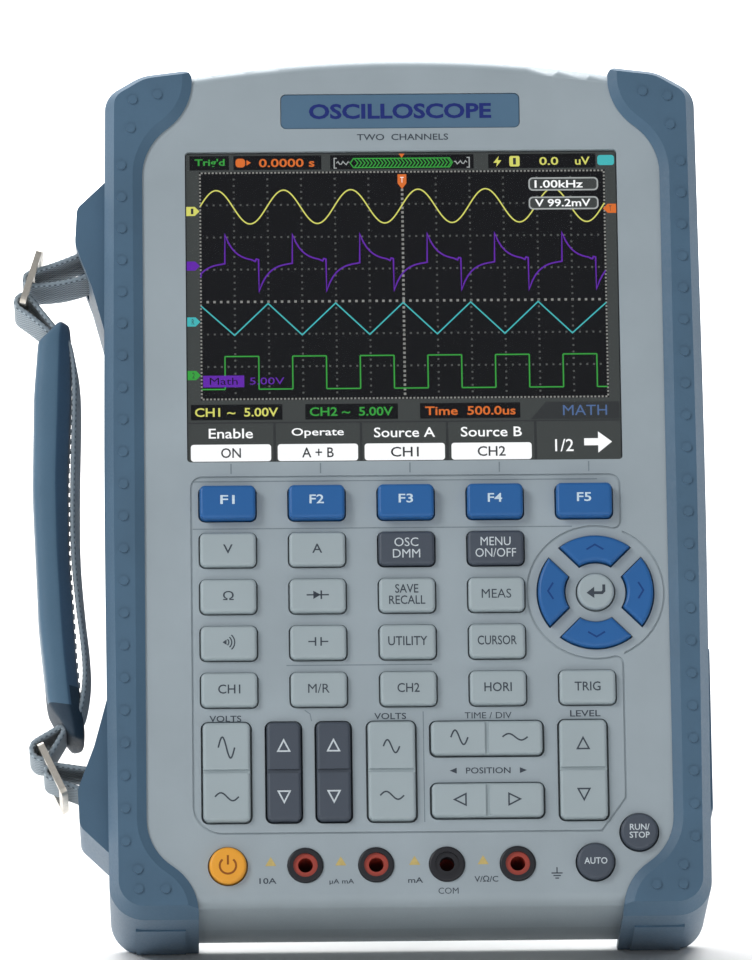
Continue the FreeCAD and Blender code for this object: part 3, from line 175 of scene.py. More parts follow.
def woven(name, warp, weft, pitch):
    """Webbing: UV runs in millimetres, along the strap and across it."""
    m = Maker(name)
    uv = m.node("UVMap").outputs["UV"]
    split = m.node("SeparateXYZ", {"Vector": uv})

    def ripple(value, period):
        scaled = m.node("Math", {0: value, 1: 2 * math.pi / period}, operation="MULTIPLY")
        return m.node("Math", {0: scaled.outputs[0]}, operation="SINE").outputs[0]

    along, across = ripple(split.outputs["X"], pitch), ripple(split.outputs["Y"], pitch * 1.25)
    cross = m.node("Math", {0: along, 1: across}, operation="MULTIPLY").outputs[0]
    ribs = m.node("Math", {0: cross, 1: 0.5, 2: 0.5}, operation="MULTIPLY_ADD").outputs[0]
    fuzz = m.noise(3400, 3)
    height = m.node("Math", {0: fuzz, 1: 0.35, 2: ribs}, operation="MULTIPLY_ADD").outputs[0]
    m.link(m.ramp(height, weft, warp, 0.15, 1.05), "Base Color")
    m.bump(height, 0.9, 0.00022)
    m.set(Roughness=0.86, Sheen_Weight=0.25, Sheen_Roughness=0.5, Specular_IOR_Level=0.2)
    return m.material


CASING = srgb(160, 172, 179)
BLUE_GREY = srgb(73, 103, 127)
PALE = srgb(164, 177, 182)
MATERIALS = {
    "casing": plastic("casing_grey", CASING, 0.46, 1900),
    # the rear pieces take the casing colour made darker by 0.9: painted shade, as if turned away from
    # the light
    "rear": plastic("casing_rear_painted_shade", shaded(CASING, 0.9), 0.5, 1700, 0.00007),
    "bumper": plastic("bumper_blue_grey", BLUE_GREY, 0.5, 1500, 0.00006, 0.08, 0.1),
    "plate": plastic("plate_blue_grey", srgb(84, 116, 142), 0.34, 2600, 0.00002, 0.03),
    "pale_key": plastic("key_pale_grey", PALE, 0.42, 2600, 0.00002, 0.03),
    "grey_key": plastic("key_dark_grey", srgb(72, 80, 92), 0.44, 2600, 0.00002, 0.04),
    "blue_key": plastic("key_blue", srgb(36, 98, 162), 0.38, 2600, 0.00002, 0.04),
    "orange_key": plastic("key_orange", srgb(240, 166, 52), 0.4, 2600, 0.00002, 0.05),
    "collar": plastic("collar_black", srgb(30, 31, 37), 0.36, 2400, 0.00002, 0.08),
    "red": plastic("insert_red", srgb(166, 66, 54), 0.34, 2400, 0.00002, 0.05),
    "silicone": plastic("silicone_grey", srgb(120, 126, 132), 0.6, 1800),
    "board": plastic("laminate_green", srgb(26, 86, 60), 0.4, 900, 0.00004, 0.1),
    "battery": plastic("battery_wrap", srgb(46, 49, 56), 0.45, 1500),
    "palm": plastic("palm_pad_blue_grey", srgb(76, 108, 132), 0.58, 1300, 0.00009, 0.07, 0.25),
    "tip": plastic("palm_tip_dark", srgb(44, 62, 78), 0.62, 1300, 0.00009, 0.08),
    # a darker copy of the palm pad's colour for the bevel right of its crease: painted shade
    "palm_painted_shade": plastic("palm_pad_painted_shade", srgb(58, 90, 118), 0.6, 1300, 0.00009, 0.07, 0.2),
    "thread": plastic("thread_pale", srgb(150, 164, 176), 0.7, 2600, 0.00006, 0.1),
    "webbing": woven("webbing_grey_blue", srgb(168, 182, 192), srgb(66, 78, 88), 1.5),
    "slider": metal("slider_nickel", srgb(206, 200, 190), 0.34),
    "socket": metal("socket_nickel", srgb(206, 206, 202), 0.22),
    "screw": metal("screw_zinc", srgb(150, 152, 156), 0.38),
    "dark_ink": flat_ink("legend_dark", srgb(62, 70, 80)),
    "pale_ink": flat_ink("legend_pale", srgb(205, 214, 220)),
    "sky_ink": flat_ink("legend_sky", srgb(206, 226, 240)),
    "navy_ink": flat_ink("legend_navy", srgb(26, 42, 118)),
    # dark lines drawn along the cover's shallow grooves: painted shade
    "groove_painted_shade": flat_ink("groove_shade", srgb(126, 138, 145)),
    "amber_ink": flat_ink("mark_amber", srgb(200, 178, 112)),
    "power_ink": flat_ink("legend_power", srgb(150, 84, 26)),
    "arrow_ink": flat_ink("legend_arrow", srgb(22, 66, 130)),
}


def make_pane():
    """Clear window: only its gloss is seen."""
    m = Maker("window_clear")
    m.set(Base_Color=(0.02, 0.025, 0.03, 1), Alpha=0.06, Specular_IOR_Level=0.3)
    m.link(m.grey(m.noise(60, 2), 0.1, 0.16), "Roughness")
    return m.material


MATERIALS["pane"] = make_pane()


# ---------------------------------------------------------------- mesh helpers

def finish_mesh(name, mesh, material, body, smooth=False):
    """Turns a mesh drawn in face millimetres into a piece that rides on a body."""
    mesh.transform(FACE)
    mesh.materials.clear()
    mesh.materials.append(MATERIALS[material])
    for polygon in mesh.polygons:
        polygon.use_smooth = smooth
    piece = bpy.data.objects.new(name, mesh)
    bpy.context.scene.collection.objects.link(piece)
    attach(piece, body)
    return piece


def from_faces(name, vertices, faces, material, body, smooth=False):
    """A piece made of faces over its own list of vertices."""
    mesh = bpy.data.meshes.new(name)
    mesh.from_pydata([tuple(v) for v in vertices], [], faces)
    mesh.update()
    return finish_mesh(name, mesh, material, body, smooth)


class Inlay:
    """Flat marks of one colour at one depth, gathered into one thin mesh."""

    def __init__(self, depth, thick=0.04):
        self.depth, self.thick = depth, thick
        self.vertices, self.faces = [], []

    def polygon(self, points):
        """A convex outline of (x, z) points, anticlockwise or not."""
        area = sum(a[0] * b[1] - b[0] * a[1] for a, b in zip(points, points[1:] + points[:1]))
        points = points if area > 0 else points[::-1]
        first, count = len(self.vertices), len(points)
        self.vertices += [(x, self.depth, z) for x, z in points]
        self.vertices += [(x, self.depth + self.thick, z) for x, z in points]
        self.faces.append([first + i for i in range(count)])
        self.faces.append([first + count + i for i in reversed(range(count))])
        for i in range(count):
            j = (i + 1) % count
            self.faces.append([first + i, first + count + i, first + count + j, first + j])

    def box(self, left, right, bottom, top):
        self.polygon([(left, bottom), (right, bottom), (right, top), (left, top)])

    def line(self, points, width, closed=False):
        """A line of even width, mitred at its bends."""
        points = [Vector(p) for p in points]
        count = len(points)
        sides = []
        for i, here in enumerate(points):
            before = points[i - 1] if i or closed else None
            after = points[(i + 1) % count] if i < count - 1 or closed else None
            into = (here - before).normalized() if before is not None else None
            out = (after - here).normalized() if after is not None else None
            into, out = into or out, out or into
            mean = into + out
            mean = mean.normalized() if mean.length > 1e-6 else into
            normal = Vector((-mean.y, mean.x))
            reach = width / 2 / max(mean.dot(into), 0.35)
            sides.append((here + normal * reach, here - normal * reach))
        for i in range(count if closed else count - 1):
            a, b = sides[i], sides[(i + 1) % count]
            self.polygon([tuple(a[0]), tuple(a[1]), tuple(b[1]), tuple(b[0])])

    def arc(self, x, z, radius, start, stop, width, steps):
        """An arc from start to stop, in degrees, anticlockwise."""
        angles = [math.radians(start + (stop - start) * i / steps) for i in range(steps + 1)]
        self.line([(x + radius * math.cos(a), z + radius * math.sin(a)) for a in angles], width)

    def rounded(self, left, right, bottom, top, radius):
        """A box with rounded corners."""
        points = []
        for x, z, start in ((right - radius, top - radius, 0), (left + radius, top - radius, 90),
                            (left + radius, bottom + radius, 180),
                            (right - radius, bottom + radius, 270)):
            points += [(x + radius * math.cos(math.radians(start + 15 * i)),
                        z + radius * math.sin(math.radians(start + 15 * i))) for i in range(7)]
        self.polygon(points)

    def make(self, name, material, body=ROOT):
        return from_faces(name, self.vertices, self.faces, material, body)


def lettering(name, words, x, z, width, height, depth, material, body=ROOT, bold=0.0):
    """Flat words fitted to a width and a height, centred at (x, z) at a depth."""
    curve = bpy.data.curves.new(name, "FONT")
    curve.body = words
    curve.align_x, curve.align_y = "CENTER", "CENTER"
    curve.size = 10
    curve.space_line = 0.92
    curve.offset = 0.0 if "M" in words else bold  # a heavier outline closes an M up
    curve.resolution_u = 3
    holder = bpy.data.objects.new(name, curve)
    bpy.context.scene.collection.objects.link(holder)
    bpy.context.view_layer.update()
    mesh = bpy.data.meshes.new_from_object(holder.evaluated_get(
        bpy.context.evaluated_depsgraph_get()))
    bpy.data.objects.remove(holder)
    mesh.name = name
    low = [min(v.co[i] for v in mesh.vertices) for i in range(2)]
    high = [max(v.co[i] for v in mesh.vertices) for i in range(2)]
    sx, sz = width / (high[0] - low[0]), height / (high[1] - low[1])
    for v in mesh.vertices:
        v.co = (x + (v.co.x - (low[0] + high[0]) / 2) * sx, depth,
                z + (v.co.y - (low[1] + high[1]) / 2) * sz)
    mesh.update()
    return finish_mesh(name, mesh, material, body)


def paint(material, *nodes):
    """Gives CAD nodes a material."""
    for node in nodes:
        slots = frame["nodes"][node].data.materials
        slots.clear()
        slots.append(MATERIALS[material])


def face_box(node):
    """A node's extent in the face frame: (low x, y, z), (high x, y, z)."""
    points = [TO_FACE @ v.co for v in frame["nodes"][node].data.vertices]
    return ([min(p[i] for p in points) for i in range(3)],
            [max(p[i] for p in points) for i in range(3)])


def centre(node):
    """The middle of a node, seen square to the face."""
    low, high = face_box(node)
    return (low[0] + high[0]) / 2, (low[2] + high[2]) / 2


def front(node):
    """How far forward a node reaches, just proud of its face."""
    return face_box(node)[0][1] - 0.03


# ---------------------------------------------------------------- camera, floor and light

def make_camera():
    """A long lens, a little below the line square to the face and a touch to its left."""
    rise, swing, roll = math.radians(15.5), math.radians(1.369), math.radians(-0.831)
    lens, sensor, distance = 364.44375, 36, 2636.4
    aim_left, aim_down = 0.0030148686, 0.0000823172  # slopes of the lens off the face's middle
    off = Vector((-math.sin(swing) * math.cos(rise), -math.cos(swing) * math.cos(rise),
                  -math.sin(rise)))
    ahead = -off
    right = ahead.cross(Vector((0, 0, 1))).normalized()
    up = right.cross(ahead)
    across = math.cos(roll) * right + math.sin(roll) * up
    upward = math.cos(roll) * up - math.sin(roll) * right
    aim = (ahead - across * aim_left - upward * aim_down).normalized()
    across = (across - aim * across.dot(aim)).normalized()
    upward = across.cross(aim)
    turned = TURN.to_3x3() @ Matrix((across, upward, -aim)).transposed()
    data = bpy.data.cameras.new("camera")
    data.lens, data.sensor_width = lens, sensor
    data.clip_start, data.clip_end = 0.1, 20
    camera = bpy.data.objects.new("camera", data)
    camera.matrix_world = Matrix.Translation(FACE @ (off * distance)) @ turned.to_4x4()
    bpy.context.scene.collection.objects.link(camera)
    bpy.context.scene.camera = camera


def make_stage():
    """A pale floor that runs to the horizon, a hair below the feet."""
    reach, level = 7, -0.0002
    m = Maker("floor_pale")
    m.link(m.ramp(m.noise(3, 2), (0.87, 0.86, 0.845, 1), (0.91, 0.905, 0.89, 1)), "Base Color")
    m.set(Roughness=0.75, Specular_IOR_Level=0.2)
    mesh = bpy.data.meshes.new("floor")
    corners = [(x, y, level) for y in (-reach, reach) for x in (-reach, reach)]
    mesh.from_pydata(corners, [], [[0, 1, 3, 2]])
    mesh.materials.append(m.material)
    floor = bpy.data.objects.new("floor", mesh)
    bpy.context.scene.collection.objects.link(floor)


def make_light(name, place, aim, power, width, height):
    """A rectangular white lamp that faces a point; metres and watts."""
    data = bpy.data.lights.new(name, "AREA")
    data.shape = "RECTANGLE"
    data.energy, data.size, data.size_y = power, width, height
    lamp = bpy.data.objects.new(name, data)
    lamp.location = place
    lamp.rotation_euler = (Vector(aim) - Vector(place)).to_track_quat("-Z", "Y").to_euler()
    bpy.context.scene.collection.objects.link(lamp)


def make_lights():
    world = bpy.data.worlds.new("world")
    bpy.context.scene.world = world
    world.use_nodes = True
    sky = world.node_tree.nodes["Background"]
    sky.inputs["Color"].default_value = (0.93, 0.96, 1.0, 1)
    sky.inputs["Strength"].default_value = 0.29
    make_light("key", (-1.25, -0.8, 1.4), (0, 0, 0.12), 16.4, 0.7, 0.7)
    make_light("fill", (0.3, -1.7, 0.7), (0, 0, 0.1), 3.3, 1.2, 1.0)
    make_light("back", (0.0, 1.5, 1.7), (0, 1.6, 0), 125, 2.8, 1.6)
    bpy.context.scene.view_settings.view_transform = "Standard"


make_camera()
make_stage()
make_lights()


# ---------------------------------------------------------------- finishes on the CAD pieces

PALE_KEYS = ["key_volts", "key_amps", "key_ohms", "key_diode", "key_save_recall", "key_measure",
             "key_continuity", "key_capacitance", "key_utility", "key_cursor", "key_channel_1",
             "key_math_reference", "key_channel_2", "key_horizontal", "key_trigger", "key_enter",
             "rocker_volts_1", "rocker_volts_2", "rocker_time", "rocker_shift", "rocker_level"]
ARROWS = ["key_up", "key_left", "key_down", "key_right"]
SOFT_KEYS = [f"key_f{i}" for i in range(1, 6)]
SOFT_KEY_STEP = 24.27
SOCKET_SPACING = 19.0
STROKE = 0.42  # the line of the marks on the rockers
WORDS_ON_COVER, MARKS_ON_COVER, GROOVE_SHADE_ON_COVER = -0.04, -0.05, -0.03  # just proud of the face


def paint_frame():
    """Gives every CAD piece but the soft parts of the strap its finish."""
    paint("casing", "front_cover")
    # the rear cover, battery door and stand carry a darker copy of the casing colour, painted shade
    paint("rear", "rear_cover", "battery_door", "stand")
    paint("bumper", "left_bumper", "right_bumper", "port_door")
    paint("plate", "name_plate")
    paint("pane", "display_window")
    paint("collar", "jack_sockets", "display_module")
    paint("red", "jack_inserts")
    paint("silicone", "keypad_mat")
    paint("board", "main_board")
    paint("battery", "battery_pack")
    paint("screw", "cover_screws")
    paint("socket", "coaxial_sockets")
    paint("slider", "upper_slider", "lower_slider")
    paint("pale_key", *PALE_KEYS)
    paint("grey_key", "key_scope_meter", "key_menu", "key_auto", "key_run_stop",
          "rocker_position_1", "rocker_position_2")
    paint("blue_key", *SOFT_KEYS, *ARROWS)
    paint("orange_key", "key_power")


def black_insert():
    """The third socket is the common one, with a black insert over the red one's place."""
    x, z = centre("jack_inserts")
    x += SOCKET_SPACING / 2
    outer, inner, sides = 3.32, 1.98, 40
    top = face_box("jack_inserts")[0][1]
    near, deep = top - 0.02, top + 3
    vertices, faces = [], []
    rings = ((outer, near), (inner, near), (inner, deep), (outer, deep))
    for radius, depth in rings:
        vertices += [(x + radius * math.cos(2 * math.pi * i / sides), depth,
                      z + radius * math.sin(2 * math.pi * i / sides)) for i in range(sides)]
    for ring in range(4):
        for i in range(sides):
            j = (i + 1) % sides
            a, b = ring * sides, (ring + 1) % 4 * sides
            faces.append([a + i, b + i, b + j, a + j])
    from_faces("common_insert", vertices, faces, "collar", ROOT)


# ---------------------------------------------------------------- legends

def key_words(node, words, width, height, ink="dark_ink", shift=0.0, bold=0.0):
    """Words on a key, shifted up from its middle."""
    x, z = centre(node)
    lettering("legend_" + node, words, x, z + shift, width, height, front(node), ink, node, bold)


def inlay_on(node):
    """An empty inlay on the face of a key, and the key's middle."""
    return Inlay(front(node)), *centre(node)


def write_keys():
    for i, node in enumerate(SOFT_KEYS):
        key_words(node, f"F{i + 1}", 3.9, 2.5, "sky_ink", 0.5, 0.15)
    one_line = {"key_volts": ("V", 2.6), "key_amps": ("A", 2.7), "key_ohms": ("Ω", 2.9),
                "key_measure": ("MEAS", 8.0), "key_utility": ("UTILITY", 10.6),
                "key_cursor": ("CURSOR", 10.6), "key_channel_1": ("CH1", 6.0),
                "key_math_reference": ("M/R", 5.8), "key_channel_2": ("CH2", 6.0),
                "key_horizontal": ("HORI", 7.4), "key_trigger": ("TRIG", 7.0)}
    for node, (words, width) in one_line.items():
        key_words(node, words, width, 2.55, bold=0.08)
    key_words("key_save_recall", "SAVE\nRECALL", 9.8, 5.6, bold=0.08)
    key_words("key_scope_meter", "OSC\nDMM", 7.4, 5.6, "pale_ink", bold=0.12)
    key_words("key_menu", "MENU\nON/OFF", 11.0, 5.6, "pale_ink", bold=0.12)
    key_words("key_auto", "AUTO", 6.2, 1.8, "pale_ink", bold=0.12)
    key_words("key_run_stop", "RUN/\nSTOP", 5.4, 3.9, "pale_ink", bold=0.12)


def draw_component_symbols():
    marks, x, z = inlay_on("key_diode")
    marks.line([(x - 3.0, z), (x + 3.0, z)], 0.36)
    marks.polygon([(x - 1.2, z + 1.15), (x - 1.2, z - 1.15), (x + 0.8, z)])
    marks.line([(x + 0.95, z - 1.2), (x + 0.95, z + 1.2)], 0.42)
    marks.make("legend_key_diode", "dark_ink", "key_diode")
    marks, x, z = inlay_on("key_capacitance")
    for side in (-1, 1):
        marks.line([(x + side * 2.7, z), (x + side * 0.75, z)], 0.36)
        marks.line([(x + side * 0.75, z - 1.2), (x + side * 0.75, z + 1.2)], 0.42)
    marks.make("legend_key_capacitance", "dark_ink", "key_capacitance")
    marks, x, z = inlay_on("key_continuity")
    marks.polygon([(x - 1.7, z), (x - 0.6, z + 0.75), (x - 0.6, z - 0.75)])
    for radius in (1.1, 1.9, 2.7):
        marks.arc(x - 1.1, z, radius, -48, 48, 0.34, 10)
    marks.make("legend_key_continuity", "dark_ink", "key_continuity")
    marks, x, z = inlay_on("key_enter")
    marks.line([(x + 2.2, z + 1.7), (x + 2.2, z - 0.1), (x + 1.7, z - 0.6), (x - 0.6, z - 0.6)],
               0.8)
    marks.polygon([(x - 0.4, z + 1.1), (x - 0.4, z - 2.1), (x - 2.5, z - 0.6)])
    marks.make("legend_key_enter", "dark_ink", "key_enter")
    marks, x, z = inlay_on("key_power")
    marks.arc(x, z - 0.2, 2.2, 130, 410, 0.55, 28)
    marks.line([(x, z + 0.1), (x, z + 2.7)], 0.55)
    marks.make("legend_key_power", "power_ink", "key_power")


def draw_arrow_marks():
    """One chevron on each arrow key, turned about the middle key."""
    pad_x, pad_z = centre("key_enter")
    for i, node in enumerate(ARROWS):
        marks = Inlay(front(node))
        turn = Matrix.Rotation(math.radians(90 * i), 2)
        points = [turn @ Vector(p) for p in ((-2.3, 11.5), (0, 12.9), (2.3, 11.5))]
        marks.line([(pad_x + p.x, pad_z + p.y) for p in points], 0.5)
        marks.make("legend_" + node, "arrow_ink", node)


def wave(x, z, width, rise):
    """One turn of a sine wave about (x, z)."""
    steps = 28
    return [(x - width / 2 + width * i / steps, z + rise * math.sin(2 * math.pi * i / steps))
            for i in range(steps + 1)]


def triangle(marks, x, z, turn):
    """An outlined triangle that points up, turned in degrees."""
    reach = 1.75
    rotation = Matrix.Rotation(math.radians(turn), 2)
    points = [rotation @ Vector(p) for p in ((0, reach), (-reach * 0.9, -reach * 0.75),
                                             (reach * 0.9, -reach * 0.75))]
    marks.line([(x + p.x, z + p.y) for p in points], STROKE, closed=True)


def draw_rocker_marks():
    for node in ("rocker_volts_1", "rocker_volts_2"):
        marks, x, z = inlay_on(node)
        marks.line(wave(x, z + 6.6, 4.4, 2.9 if node.endswith("1") else 1.8), STROKE)
        marks.line(wave(x, z - 7.0, 6.4, 1.1), STROKE)
        marks.make("legend_" + node, "dark_ink", node)
    for node in ("rocker_position_1", "rocker_position_2", "rocker_level"):
        marks, x, z = inlay_on(node)
        triangle(marks, x, z + 6.8, 0)
        triangle(marks, x, z - 6.9, 180)
        marks.make("legend_" + node, "dark_ink" if node.endswith("level") else "pale_ink", node)
    marks, x, z = inlay_on("rocker_time")
    marks.line(wave(x - 7.4, z, 4.6, 2.0), STROKE)
    marks.line(wave(x + 7.6, z, 6.8, 0.9), STROKE)
    marks.make("legend_rocker_time", "dark_ink", "rocker_time")
    marks, x, z = inlay_on("rocker_shift")
    triangle(marks, x - 7.2, z, 90)
    triangle(marks, x + 7.0, z, -90)
    marks.make("legend_rocker_shift", "dark_ink", "rocker_shift")


def print_on_cover():
    """Legends printed on the front cover round the keys and the sockets, and lines of painted shade
    along its grooves.
    """
    words = [("volts_a", "VOLTS", -49.4, -66.6, 8.6, 1.75),
             ("volts_b", "VOLTS", -5.0, -66.2, 8.6, 1.75),
             ("time", "TIME / DIV", 21.4, -66.2, 12.6, 1.75),
             ("level", "LEVEL", 47.6, -65.9, 8.2, 1.75),
             ("position", "POSITION", 21.2, -81.5, 12.0, 1.7),
             ("ten_amp", "10A", -38.4, -111.5, 4.6, 1.6),
             ("milli_amp", "mA", 1.2, -111.6, 4.0, 1.5),
             ("common", "COM", 10.0, -114.6, 5.4, 1.7),
             ("volt_ohm", "V/Ω/C", 20.2, -111.4, 6.4, 1.7),
             ("micro_amp", "µA mA", -18.6, -111.9, 6.6, 1.6)]
    for name, text, x, z, width, height in words:
        lettering("print_" + name, text, x, z, width, height, WORDS_ON_COVER, "dark_ink", ROOT, 0.1)
    marks = Inlay(MARKS_ON_COVER)
    for side in (-1, 1):
        tip = 21.2 + side * 10.4
        marks.polygon([(tip, -81.5), (tip - side * 1.9, -80.7), (tip - side * 1.9, -82.3)])
    x, z = 39.2, -110.0
    marks.line([(x, z + 1.6), (x, z)], 0.3)
    for i, half in enumerate((1.5, 1.0, 0.5)):
        marks.line([(x - half, z - 0.7 * i), (x + half, z - 0.7 * i)], 0.3)
    marks.make("print_marks", "dark_ink")
    amber = Inlay(MARKS_ON_COVER)
    for x in (-37.6, -18.8, 1.0, 19.4):
        amber.polygon([(x - 1.5, -107.4), (x + 1.5, -107.4), (x, -104.9)])
    amber.make("print_triangles", "amber_ink")
    # thin darker lines where the cover has shallow grooves: painted shade, not print; the short ticks
    # over the soft keys are drawn in it too
    lines = Inlay(GROOVE_SHADE_ON_COVER, 0.03)
    for i in range(5):
        x = (i - 2) * SOFT_KEY_STEP + 1.3
        lines.line([(x, 4.7), (x, 1.9)], 0.35)
    for points in ([(-57.8, -0.3), (52, -0.3)], [(-57.8, -13.6), (45, -13.6)],
                   [(-32.8, -51.9), (6.5, -51.9)],
                   [(-28.0, -64.4), (-26.6, -65.4), (-26.2, -67.4)],
                   [(3.9, -65.0), (3.9, -95.6)]):
        lines.line(points, 0.28)
    lines.make("painted_groove_shade", "groove_painted_shade")


def write_plate():
    x, z = centre("name_plate")
    proud = face_box("name_plate")[0][1] - 0.05
    lettering("plate_word", "OSCILLOSCOPE", x, z, 50, 4.4, proud, "navy_ink", ROOT, 0.3)
    lettering("print_subtitle", "TWO  CHANNELS", x + 0.6, z - 7.5, 25, 1.8, WORDS_ON_COVER,
              "dark_ink", ROOT, 0.1)


paint_frame()
black_insert()
write_keys()
draw_component_symbols()
draw_arrow_marks()
draw_rocker_marks()
print_on_cover()
write_plate()


# ---------------------------------------------------------------- the picture on the display

MATERIALS.update({
    "ui_grey": glow("display_grey", srgb(66, 70, 69)),
    "ui_slate": glow("display_slate", srgb(50, 53, 54)),
    "ui_black": glow("display_black", srgb(7, 7, 9)),
    "ui_dots": glow("display_grid", srgb(150, 150, 146)),
    "ui_faint": glow("display_grid_faint", srgb(96, 98, 96)),
    "ui_yellow": glow("display_yellow", srgb(226, 226, 112)),
    "ui_purple": glow("display_purple", srgb(104, 38, 178)),
    "ui_cyan": glow("display_cyan", srgb(72, 190, 194)),
    "ui_green": glow("display_green", srgb(58, 168, 66)),
    "ui_orange": glow("display_orange", srgb(228, 116, 46)),
    "ui_white": glow("display_white", srgb(246, 248, 249), 1.25),
    "ui_mist": glow("display_mist", srgb(176, 181, 181)),
    "ui_blue": glow("display_blue", srgb(84, 112, 160)),
    "ui_ink": glow("display_ink", srgb(52, 54, 58)),
})
PLOT = {"left": -55.0, "right": 55.6, "bottom": 23.3, "top": 87.7}
PERIOD = 18.42  # the length of one turn of a trace
STEP_X, STEP_Z = (PLOT["right"] - PLOT["left"]) / 12, (PLOT["top"] - PLOT["bottom"]) / 7
PICTURE_BACK, LAYER = 0.09, 0.012
TRACE = 0.36


def display_layer(number):
    """The depth of a layer of the picture, counted up from the panel towards the window."""
    return face_box("display_window")[1][1] + PICTURE_BACK - LAYER * number


class Picture(Inlay):
    """Marks on one layer of the display."""

    def __init__(self, number):
        super().__init__(display_layer(number), LAYER / 2)


def caption(name, words, x, z, width, height, material, number=5, bold=0.0):
    """Words on one layer of the display."""
    lettering("display_" + name, words, x, z, width, height, display_layer(number), material,
              ROOT, bold)


def draw_display_ground():
    low, high = face_box("display_window")
    ground = Picture(0)
    ground.box(low[0] + 0.2, high[0] - 0.2, low[2] + 0.2, high[2] - 0.2)
    ground.make("display_ground", "ui_grey")
    dark = Picture(1)
    dark.box(PLOT["left"] - 0.3, PLOT["right"] + 0.3, PLOT["bottom"] - 0.3, PLOT["top"] + 0.3)
    for left, right in ((-57.8, -47.0), (-45.8, -21.7), (-19.3, 20.0), (24.0, 53.4)):
        dark.box(left, right, 88.5, 92.6)
    for left, right in ((-58.0, -33.1), (-26.9, -1.7), (4.3, 31.6)):
        dark.box(left, right, 17.4, 21.8)
    dark.make("display_black_boxes", "ui_black")
    slate = Picture(1)
    slate.polygon([(34.4, 17.0), (58.6, 17.0), (58.6, 21.9), (38.6, 21.9)])
    for x in (-35.3, -11.8, 11.6, 35.6):
        slate.box(x - 0.35, x + 0.35, 5.6, 16.4)
    slate.box(-58.7, 58.7, 16.4, 16.8)
    slate.make("display_tabs", "ui_slate")


def draw_grid():
    faint, bright = Picture(2), Picture(2)
    gap = STEP_X / 5
    for i in range(1, 12):
        x = PLOT["left"] + i * STEP_X
        marks, size, pitch = (bright, 0.34, gap * 0.7) if i == 6 else (faint, 0.26, gap)
        for j in range(int((PLOT["top"] - PLOT["bottom"]) / pitch)):
            z = PLOT["top"] - (j + 1) * pitch
            if z > PLOT["bottom"] + 0.5:
                marks.box(x - size, x + size, z - size, z + size)
    for i in range(1, 7):
        z = PLOT["top"] - i * STEP_Z
        marks, size = (bright, 0.34) if i == 4 else (faint, 0.26)
        for j in range(1, int((PLOT["right"] - PLOT["left"]) / gap)):
            x = PLOT["left"] + j * gap
            marks.box(x - size, x + size, z - size, z + size)
    steps = 110
    for j in range(steps):
        x = PLOT["left"] + (j + 0.5) * (PLOT["right"] - PLOT["left"]) / steps
        for z in (PLOT["bottom"], PLOT["top"]):
            bright.box(x - 0.26, x + 0.26, z - 0.24, z + 0.24)
    steps = 64
    for j in range(steps):
        z = PLOT["bottom"] + (j + 0.5) * (PLOT["top"] - PLOT["bottom"]) / steps
        for x in (PLOT["left"], PLOT["right"]):
            bright.box(x - 0.24, x + 0.24, z - 0.26, z + 0.26)
    faint.make("display_grid_marks", "ui_faint")
    bright.make("display_axis_marks", "ui_dots")


def draw_traces():
    left, right = PLOT["left"], PLOT["right"]
    steps = 260
    across = [left + (right - left) * i / steps for i in range(steps + 1)]
    marks = Picture(3)
    marks.line([(x, 77.9 + 4.8 * math.cos(2 * math.pi * (x + 50.6) / PERIOD)) for x in across],
               TRACE)
    marks.make("display_trace_sine", "ui_yellow")
    marks = Picture(3)
    points = []
    for turn in range(-1, 6):
        rise = -48.4 + turn * PERIOD
        fall = rise + PERIOD / 2
        points += [(rise, 61.8), (rise + 0.1, 70.0)]
        points += [(rise + 0.1 + 0.9 * i, 62.4 + 7.6 * math.exp(-0.34 * i)) for i in range(1, 9)]
        points += [(fall - 0.9, 62.4), (fall - 0.6, 63.1), (fall, 62.9), (fall + 0.1, 53.9)]
        points += [(fall + 0.1 + 0.9 * i, 62.0 - 8.1 * math.exp(-0.34 * i)) for i in range(1, 9)]
    marks.line([(min(max(x, left), right), z) for x, z in points if left - 0.9 < x < right + 0.9],
               0.4)
    marks.make("display_trace_sum", "ui_purple")
    marks = Picture(3)
    points = [(left, 49.8)]
    for turn in range(6):
        low_x = -45.9 + turn * PERIOD
        points += [(low_x, 41.4), (low_x + PERIOD / 2, 50.4)]
    points[-1] = (right, 50.0)
    marks.line(points, TRACE)
    marks.make("display_trace_triangle", "ui_cyan")
    marks = Picture(3)
    points = [(left, 26.1)]
    for turn in range(6):
        rise = -48.6 + turn * PERIOD
        points += [(rise, 26.1), (rise, 35.4), (rise + PERIOD / 2, 35.4), (rise + PERIOD / 2, 26.1)]
    points.append((right, 26.1))
    for a, b in zip(points, points[1:]):
        marks.line([a, b], TRACE)
    marks.make("display_trace_square", "ui_green")


def tag(name, z, material, number, side=-1):
    """A channel marker beside the plot, with its point towards the traces."""
    marks = Picture(3)
    edge, tip = side * 58.8, side * 55.2
    shoulder = tip + side * 1.3
    marks.polygon([(edge, z - 1.3), (shoulder, z - 1.3), (tip, z), (shoulder, z + 1.3),
                   (edge, z + 1.3)])
    marks.make("display_tag_" + name, material)
    if number:
        caption("tag_number_" + name, number, side * 57.2, z, 0.7, 1.6, "ui_ink")


def draw_markers():
    tag("one", 76.8, "ui_yellow", "1")
    tag("sum", 61.2, "ui_purple", "")
    tag("reference", 45.3, "ui_cyan", "R")
    tag("two", 30.1, "ui_green", "2")
    tag("level", 76.8, "ui_orange", "T", 1)
    marks = Picture(4)
    marks.polygon([(-0.9, 87.0), (1.5, 87.0), (1.5, 84.4), (0.3, 82.8), (-0.9, 84.4)])
    marks.polygon([(-0.5, 92.9), (1.1, 92.9), (0.3, 91.7)])
    marks.make("display_trigger_marker", "ui_orange")
    caption("trigger_letter", "T", 0.3, 85.4, 1.0, 1.6, "ui_white")
    marks = Picture(2)
    marks.rounded(53.9, 58.5, 89.2, 92.1, 0.8)
    marks.make("display_battery_icon", "ui_cyan")


